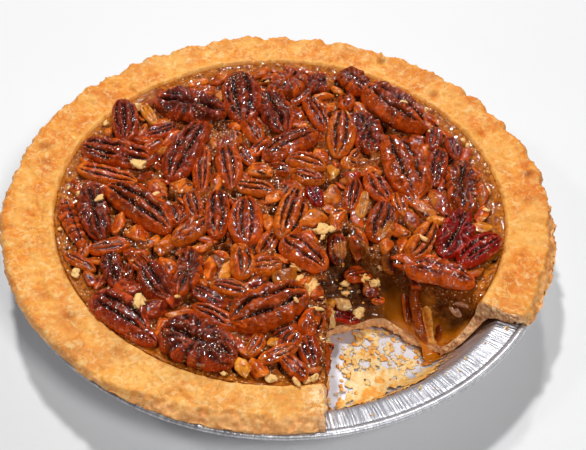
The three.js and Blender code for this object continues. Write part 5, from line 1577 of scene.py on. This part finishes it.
# ------------------------------------------------------------------ drip, crumbs
def build_drip():
    # a tongue of syrup over the torn edge and on to the foil
    path = np.array([(56.5, -41.5, 8.9), (58.6, -45.2, 8.0), (60.4, -47.8, 7.0), (61.3, -49.4, 5.2), (61.8, -50.4, 3.0), (62.2, -51.4, 1.6),
                     (62.6, -52.8, 1.1), (63.0, -54.4, 0.9), (63.2, -55.6, 0.7)])
    half = np.array([4.2, 4.0, 3.8, 3.5, 3.4, 3.6, 3.8, 3.3, 1.4])
    thick = np.array([0.5, 0.9, 1.0, 1.0, 1.0, 1.0, 1.0, 0.9, 0.3])
    t = np.linspace(0, len(path) - 1, 60)
    k = np.arange(len(path))
    C = np.stack([np.interp(t, k, path[:, i]) for i in range(3)], -1)
    for _ in range(8):
        C[1:-1] = (C[:-2] + C[1:-1] + C[2:]) / 3
    Hf, Th = np.interp(t, k, half), np.interp(t, k, thick)
    T = np.gradient(C, axis=0)
    T /= np.linalg.norm(T, axis=1)[:, None]
    side = np.cross(T, [0, 0, 1.0])
    side /= np.linalg.norm(side, axis=1)[:, None]
    up = np.cross(side, T)
    nv = 28
    th = np.linspace(0, TAU, nv, endpoint=False)
    V = (C[:, None] + side[:, None] * (np.cos(th)[None, :, None] * Hf[:, None, None])
         + up[:, None] * (np.where(np.sin(th) > 0, np.sin(th), 0.35 * np.sin(th))[None, :, None] * Th[:, None, None]))
    V = V.reshape(-1, 3)
    V[:, 2] = np.maximum(V[:, 2], 0.5)
    V = V + np.stack([0.25 * noise(V, 0.3, 181), 0.25 * noise(V, 0.3, 182), np.zeros(len(V))], -1)
    V = above_foil(V)
    bag = Bag()
    bag.add(V, grid_faces(60, nv, wrap=True, flip=True))
    a = np.array([[*C[0]], [*C[-1]]])
    a[1, 2] = 0.6
    a = above_foil(a)
    off = bag.add(a)
    c = np.arange(nv)
    bag.t.append(np.stack([np.full(nv, off), c, (c + 1) % nv], -1))
    bag.t.append(np.stack([np.full(nv, off + 1), 59 * nv + (c + 1) % nv, 59 * nv + c], -1))
    obj = bag.build("syrup_drip", SYRUP)
    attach(obj, "root")


def crumb_blob(rng, size, flat=0.5):
    """A lumpy flake: a flattened ball with its surface pushed in and out."""
    nu, nv = (12, 18) if size > 3.8 else ((9, 14) if size > 2.2 else (4, 7))
    la = np.linspace(-1, 1, nu + 2)[1:-1] * math.pi / 2 * 0.92
    La, Lo = np.meshgrid(la, np.linspace(0, TAU, nv, endpoint=False), indexing="ij")
    d = np.stack([(np.cos(La) * np.cos(Lo)).ravel(), (np.cos(La) * np.sin(Lo)).ravel(), np.sin(La).ravel()], -1)
    d = np.concatenate([[[0, 0, -1.0]], d, [[0, 0, 1.0]]])
    o = rng.random(3) * 60
    g = 0.86 + 0.62 * fbm(d + o, 1.15, 2, 301) + 0.34 * noise(d + o, 2.9, 305) + (0.20 * noise(d + o, 6.0, 307) if size > 3.8 else 0)
    v = d * g[:, None] * np.array([size * (0.8 + 0.5 * rng.random()), size * (0.5 + 0.4 * rng.random()), size * flat]) / 2 * 1.25
    cols = np.arange(nv)
    last = len(v) - 1
    q = grid_faces(nu, nv, wrap=True, offset=1)
    t = np.concatenate([np.stack([np.zeros(nv, int), 1 + (cols + 1) % nv, 1 + cols], -1),
                        np.stack([np.full(nv, last), 1 + (nu - 1) * nv + cols, 1 + (nu - 1) * nv + (cols + 1) % nv], -1)])
    return v, q, t


def build_crumbs():
    rng = np.random.default_rng(11)
    bag = Bag()
    # the thin skin of pastry left on the foil
    h = 0.42
    xs, ys = np.arange(18.5, 82, h), np.arange(-98, -36, h)
    X, Y = np.meshgrid(xs, ys)
    P = np.stack([X.ravel(), Y.ravel(), np.zeros(X.size)], -1)
    R = np.hypot(X, Y)
    cover = (0.55 * fbm(P, 0.11, 3, 201) + 0.45 * fbm(P, 0.42, 3, 203) + 0.10 * fbm(P, 1.3, 2, 205)).reshape(X.shape)
    # densest in the middle, thin at the left and towards the torn edge
    want = 0.34 * np.exp(-(((X - 44) / 17) ** 2 + ((Y + 62) / 11) ** 2)) + 0.22 * np.exp(-(((X - 33) / 14) ** 2 + ((Y + 73) / 7) ** 2))
    want -= 0.55 * np.exp(-(((X - 22) / 5.5) ** 2 + ((Y + 60) / 16) ** 2))
    want -= 0.55 * np.exp(-(((X - 54) / 9) ** 2 + ((Y + 51) / 5.0) ** 2))
    want -= 0.25 * np.exp(-(((X - 36) / 7) ** 2 + ((Y + 55) / 4.0) ** 2))
    want += 0.30 * np.exp(-((R - 82.5) / 2.0) ** 2) * smooth(60, 40, X)
    want += 0.34 * smooth(82.5, 85.5, R) * smooth(70, 56, X) - 0.12 * smooth(86, 90, R)
    want -= 0.9 * smooth(95.6, 98.6, R)
    _, t1 = cells(P, 2.6, 221)
    _, t2 = cells(P, 1.3, 223)
    t1, t2 = t1.reshape(X.shape), t2.reshape(X.shape)
    gnaw = fbm(P, 0.30, 3, 225).reshape(X.shape)
    m = cover + want + 0.02 + 0.08 * (t1 - 0.5) + 0.05 * (t2 - 0.5) - 0.60 * smooth(0.20, 0.42, gnaw)
    m = m + 0.09 * fbm(P, 1.6, 2, 229).reshape(X.shape)
    toe = toe_y(np.clip(X, CUT_X, 76))
    m = np.where((Y > toe - 0.5) | (X < 19.3), -1, m)
    on = smooth(0.0, 0.10, m)
    fine = fbm(P, 0.9, 2, 207).reshape(X.shape)
    wall = np.interp(R + 0.25, [81.2, 83.6, 85.4, 86.9, 89.6, 92.4, 95.2, 97.8, 99.1], [0, 0.7, 2.0, 4.0, 9.0, 14.0, 18.8, 23.0, 24.9])
    swell = fbm(P, 0.22, 2, 227).reshape(X.shape)
    Zt = 0.45 + wall + on * (0.25 + 1.1 * np.clip(m, 0, 0.5) + 0.25 * t1 + 0.12 * t2 + 1.1 * np.clip(swell, -0.2, 0.8)) + 0.40 * fine * on
    keep = m > 0.0
    idx = -np.ones(X.shape, int)
    idx[keep] = np.arange(keep.sum())
    a, b, c, d = idx[:-1, :-1], idx[:-1, 1:], idx[1:, 1:], idx[1:, :-1]
    ok = (a >= 0) & (b >= 0) & (c >= 0) & (d >= 0)
    tone = 0.14 + 0.10 * t2 + 0.12 * t1 + 0.42 * smooth(0.0, 0.32, fbm(P, 0.16, 3, 211)).reshape(X.shape) + 0.30 * fine
    tone = tone - 0.10 + 0.12 * smooth(0.06, 0.0, m) + 0.16 * smooth(78, 82, R) + 0.10 * smooth(84, 90, R)
    tone = np.clip(tone, 0, 0.60) + 0.12 * smooth(94, 96, R)
    F = np.stack([a[ok], b[ok], c[ok], d[ok]], -1)
    V = np.stack([X[keep], Y[keep], Zt[keep]], -1)
    V[:, :2] += np.stack([0.12 * noise(V, 2.2, 212), 0.12 * noise(V, 2.2, 213)], -1)
    bag.add(above_foil(V), F, None, tone=tone[keep])

    def scatter(count, spot, size_lo, size_hi, flat=0.5, tone_lo=0.0, tone_hi=0.6, tilt=0.6):
        for _ in range(count):
            x, y, z = spot()
            size = size_lo + (size_hi - size_lo) * rng.random() ** 2.2
            v, q, t = crumb_blob(rng, size, flat)
            e = Matrix.Rotation(rng.random() * TAU, 3, 'Z') @ Matrix.Rotation((rng.random() - 0.5) * tilt, 3, 'X')
            v = above_foil(v @ np.array(e).T + np.array([x, y, z + size * flat * 0.3]))
            bag.add(v, q, t, tone=np.full(len(v), tone_lo + (tone_hi - tone_lo) * rng.random()))

    def on_floor():
        while True:
            x, y = 20 + 55 * rng.random(), -84 + 44 * rng.random()
            if math.hypot(x, y) < 82.5 and y < float(toe_y(min(x, 76))) - 0.8 and x > 20.0:
                if x > 29 or rng.random() < 0.22:
                    return x, y, 0.5
    scatter(360, on_floor, 0.4, 2.6, 0.28, 0.0, 0.7)

    def on_sheet():
        while True:
            x, y = 26 + 40 * rng.random(), -82 + 30 * rng.random()
            if math.hypot(x, y) < 81.0 and y < float(toe_y(min(x, 76))) - 5.0:
                return x, y, 0.95
    scatter(40, on_sheet, 1.2, 3.6, 0.24, 0.15, 0.62, 0.3)

    def on_wall():
        a = math.radians(-78 + 46 * rng.random())
        if rng.random() < 0.35:
            r = 100.4 + 6.0 * rng.random() ** 1.6
            return r * math.cos(a), r * math.sin(a), 26.45 + 0.17 * (r - 101)
        t = rng.random() ** 1.6
        return (86.4 + 11.5 * t) * math.cos(a), (86.4 + 11.5 * t) * math.sin(a), 4.4 + 19.0 * t
    scatter(46, on_wall, 0.4, 1.3, 0.5, 0.1, 0.7)

    def left_foot():
        return 19.5 + 2.2 * rng.random(), -46 - 36 * rng.random(), 0.6 + 1.2 * rng.random()
    scatter(120, left_foot, 0.5, 2.4, 0.6, 0.1, 0.7)

    def on_slump():
        x = 22 + 22 * rng.random()
        y = float(head_y(x)) - 3 - rng.random() * (float(head_y(x)) - float(toe_y(x)) - 5)
        z = float(slump_height(np.array([x]), np.array([y]))[0][0])
        return x, y, z
    scatter(26, on_slump, 0.5, 1.9, 0.45, 0.1, 0.7)

    def on_top():
        while True:
            a, r = rng.random() * TAU, 88 * math.sqrt(rng.random())
            x, y = r * math.cos(a), r * math.sin(a)
            if not (x > CUT_X and y < float(head_y(x)) + 1):
                return x, y, 34.3 + 1.5 * rng.random()
    # named flakes and chunks of pastry on top and along the cut
    chunks = [(-60, 13.5, 37.0, 6.0, 0.4), (-50.8, -3.5, 37.2, 2.6, 0.5), (-81.3, -3, 35.0, 5.0, 0.35), (-72.6, -8, 38.2, 4.0, 0.3),
              (-78, 43.0, 33.0, 3.2, 0.5), (-77, -43.5, 32.6, 4.2, 0.4), (-65.5, 54, 33.0, 5.0, 0.6), (61.5, 59.5, 33.6, 3.6, 0.5),
              (52.3, 57.0, 39.6, 3.6, 0.5), (78.0, 41, 33.2, 2.6, 0.6), (79.5, 38.0, 33.2, 2.4, 0.6), (86.0, 10.5, 32.6, 3.6, 0.5),
              (84.3, -0.5, 32.4, 2.6, 0.4), (83.0, -5.2, 32.4, 2.2, 0.4), (-87.5, 3, 32.4, 2.4, 0.4), (-87.0, -20.5, 32.4, 2.0, 0.5),
              (7.8, -37.0, 34.0, 4.6, 0.4), (8.6, -42.5, 33.6, 4.2, 0.4), (4.2, -33.0, 33.6, 2.4, 0.5), (2.0, -48.5, 36.8, 3.4, 0.4),
              (7.6, -58.2, 39.4, 2.6, 0.6), (12.8, -46.5, 32.0, 8.5, 0.55), (15.0, -57.0, 33.0, 3.8, 0.5), (17.4, -20.0, 34.0, 3.6, 0.5),
              (16.8, -17.2, 34.4, 5.6, 0.45), (19.6, -16.0, 34.2, 4.4, 0.45), (13.2, -70.0, 31.5, 3.6, 0.5), (16.6, -68.0, 31.0, 4.0, 0.6),
              (-36.5, -56, 36.0, 2.2, 0.5), (-50, -61, 38.6, 5.2, 0.35), (-9, 75.5, 33.5, 2.6, 0.5), (10.0, 74.5, 34.0, 3.0, 0.5),
              (38.5, -31.5, 19.5, 4.6, 0.5), (36.8, -24.5, 25.0, 3.6, 0.6), (26.8, -31.5, 18.5, 3.4, 0.6), (27.2, -34.0, 15.8, 2.6, 0.6),
              (34.0, -29.0, 20.5, 4.2, 0.5), (40.5, -26.0, 24.5, 3.6, 0.6), (20.8, -44.6, 12.5, 7.5, 0.7), (23.0, -41.0, 10.0, 3.0, 0.6),
              (32.8, -39.2, 9.8, 6.5, 0.35), (30.5, -41.4, 7.2, 4.0, 0.4), (56.2, -21.5, 36.8, 3.6, 0.5), (-16.8, -88.0, 33.0, 3.0, 0.5),
              (0.0, -89.3, 33.0, 3.8, 0.4), (8.5, -90.0, 33.6, 4.2, 0.6), (12.5, -89.5, 33.4, 3.6, 0.6), (15.2, -88.2, 33.2, 3.8, 0.6)]
    for i, (x, y, z, size, flat) in enumerate(chunks):
        size *= 0.86 if z > 30 and size < 5.5 else 1.0
        v, q, t = crumb_blob(rng, size, flat)
        e = Matrix.Rotation(hash1(i, 31) * TAU, 3, 'Z') @ Matrix.Rotation((hash1(i, 32) - 0.5) * 0.5, 3, 'X')
        v = v @ np.array(e).T + np.array([x, y, z])
        mottle = noise(v + i * 7, 0.8, 311)
        bag.add(v, q, t, tone=np.clip(0.97 - 0.13 * np.abs(mottle) * (1 + hash1(i, 33)), 0, 1) if i not in (12, 36) else 0.35 + 0.2 * mottle)
    scatter(110, on_top, 0.3, 1.5, 0.5, 0.88, 1.0)
    obj = bag.build("pastry_crumbs", CRUMB)
    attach(obj, "root")


build_pan()
build_crust()
build_filling()
build_nuts()
build_drip()
build_crumbs()

# ------------------------------------------------------------------ floor, light, camera
floor_mesh = bpy.data.meshes.new("floor")
S = 4.0
floor_mesh.from_pydata([(-S, -S, 0), (S, -S, 0), (S, S, 0), (-S, S, 0)], [], [(0, 1, 2, 3)])
floor = bpy.data.objects.new("floor", floor_mesh)
bpy.context.scene.collection.objects.link(floor)
fm = Mat("floor_paper")
fm.set(Base_Color=fm.mix(fm.span(fm.noise(120, 2), 0.3, 0.7), (0.86, 0.86, 0.87), (0.88, 0.88, 0.88)), Roughness=0.7, Specular_IOR_Level=0.2)
floor_mesh.materials.append(fm.m)
floor.location.z = -0.0002

scene = bpy.context.scene
world = bpy.data.worlds.new("studio")
scene.world = world
world.use_nodes = True
bg = world.node_tree.nodes["Background"]
bg.inputs["Color"].default_value = (1.0, 1.0, 1.0, 1)
bg.inputs["Strength"].default_value = 0.065


def area(name, loc, target, size, energy, color=(1, 1, 1)):
    d = bpy.data.lights.new(name, "AREA")
    d.shape = "SQUARE"
    d.size = size
    d.energy = energy
    d.color = color
    o = bpy.data.objects.new(name, d)
    scene.collection.objects.link(o)
    o.location = loc
    o.rotation_euler = (Vector(target) - Vector(loc)).to_track_quat("-Z", "Y").to_euler()
    return o


area("key", (-0.20, 0.42, 1.22), (0, 0, 0.03), 0.10, 8.6)
area("back", (0.20, 0.98, 0.92), (0, 0, 0.03), 0.09, 4.7)
area("left", (-0.95, -0.15, 1.05), (0, 0, 0.03), 0.14, 1.7)
area("fill", (0.45, -0.70, 1.10), (0, 0, 0.03), 0.28, 6.6)

el, roll = math.radians(46.32), math.radians(2.26)
back = np.array([0, -math.cos(el), math.sin(el)])
right0 = np.array([1.0, 0, 0])
up0 = np.cross(back, right0)
c, s = math.cos(roll), math.sin(roll)
rv, uv = c * right0 + s * up0, -s * right0 + c * up0
pos = (np.array([5.39, -9.44, 28.4]) + back * 447.12) * MM
cam_data = bpy.data.cameras.new("camera")
cam_data.sensor_width = 36.0
cam_data.sensor_fit = "HORIZONTAL"
cam_data.lens = 1100.0 / 586.0 * 36.0
cam_data.clip_start, cam_data.clip_end = 0.01, 50
cam = bpy.data.objects.new("camera", cam_data)
scene.collection.objects.link(cam)
m3 = Matrix(((rv[0], uv[0], back[0]), (rv[1], uv[1], back[1]), (rv[2], uv[2], back[2])))
cam.matrix_world = Matrix.Translation(Vector(pos)) @ m3.to_4x4()
scene.camera = cam
scene.view_settings.view_transform = "Standard"
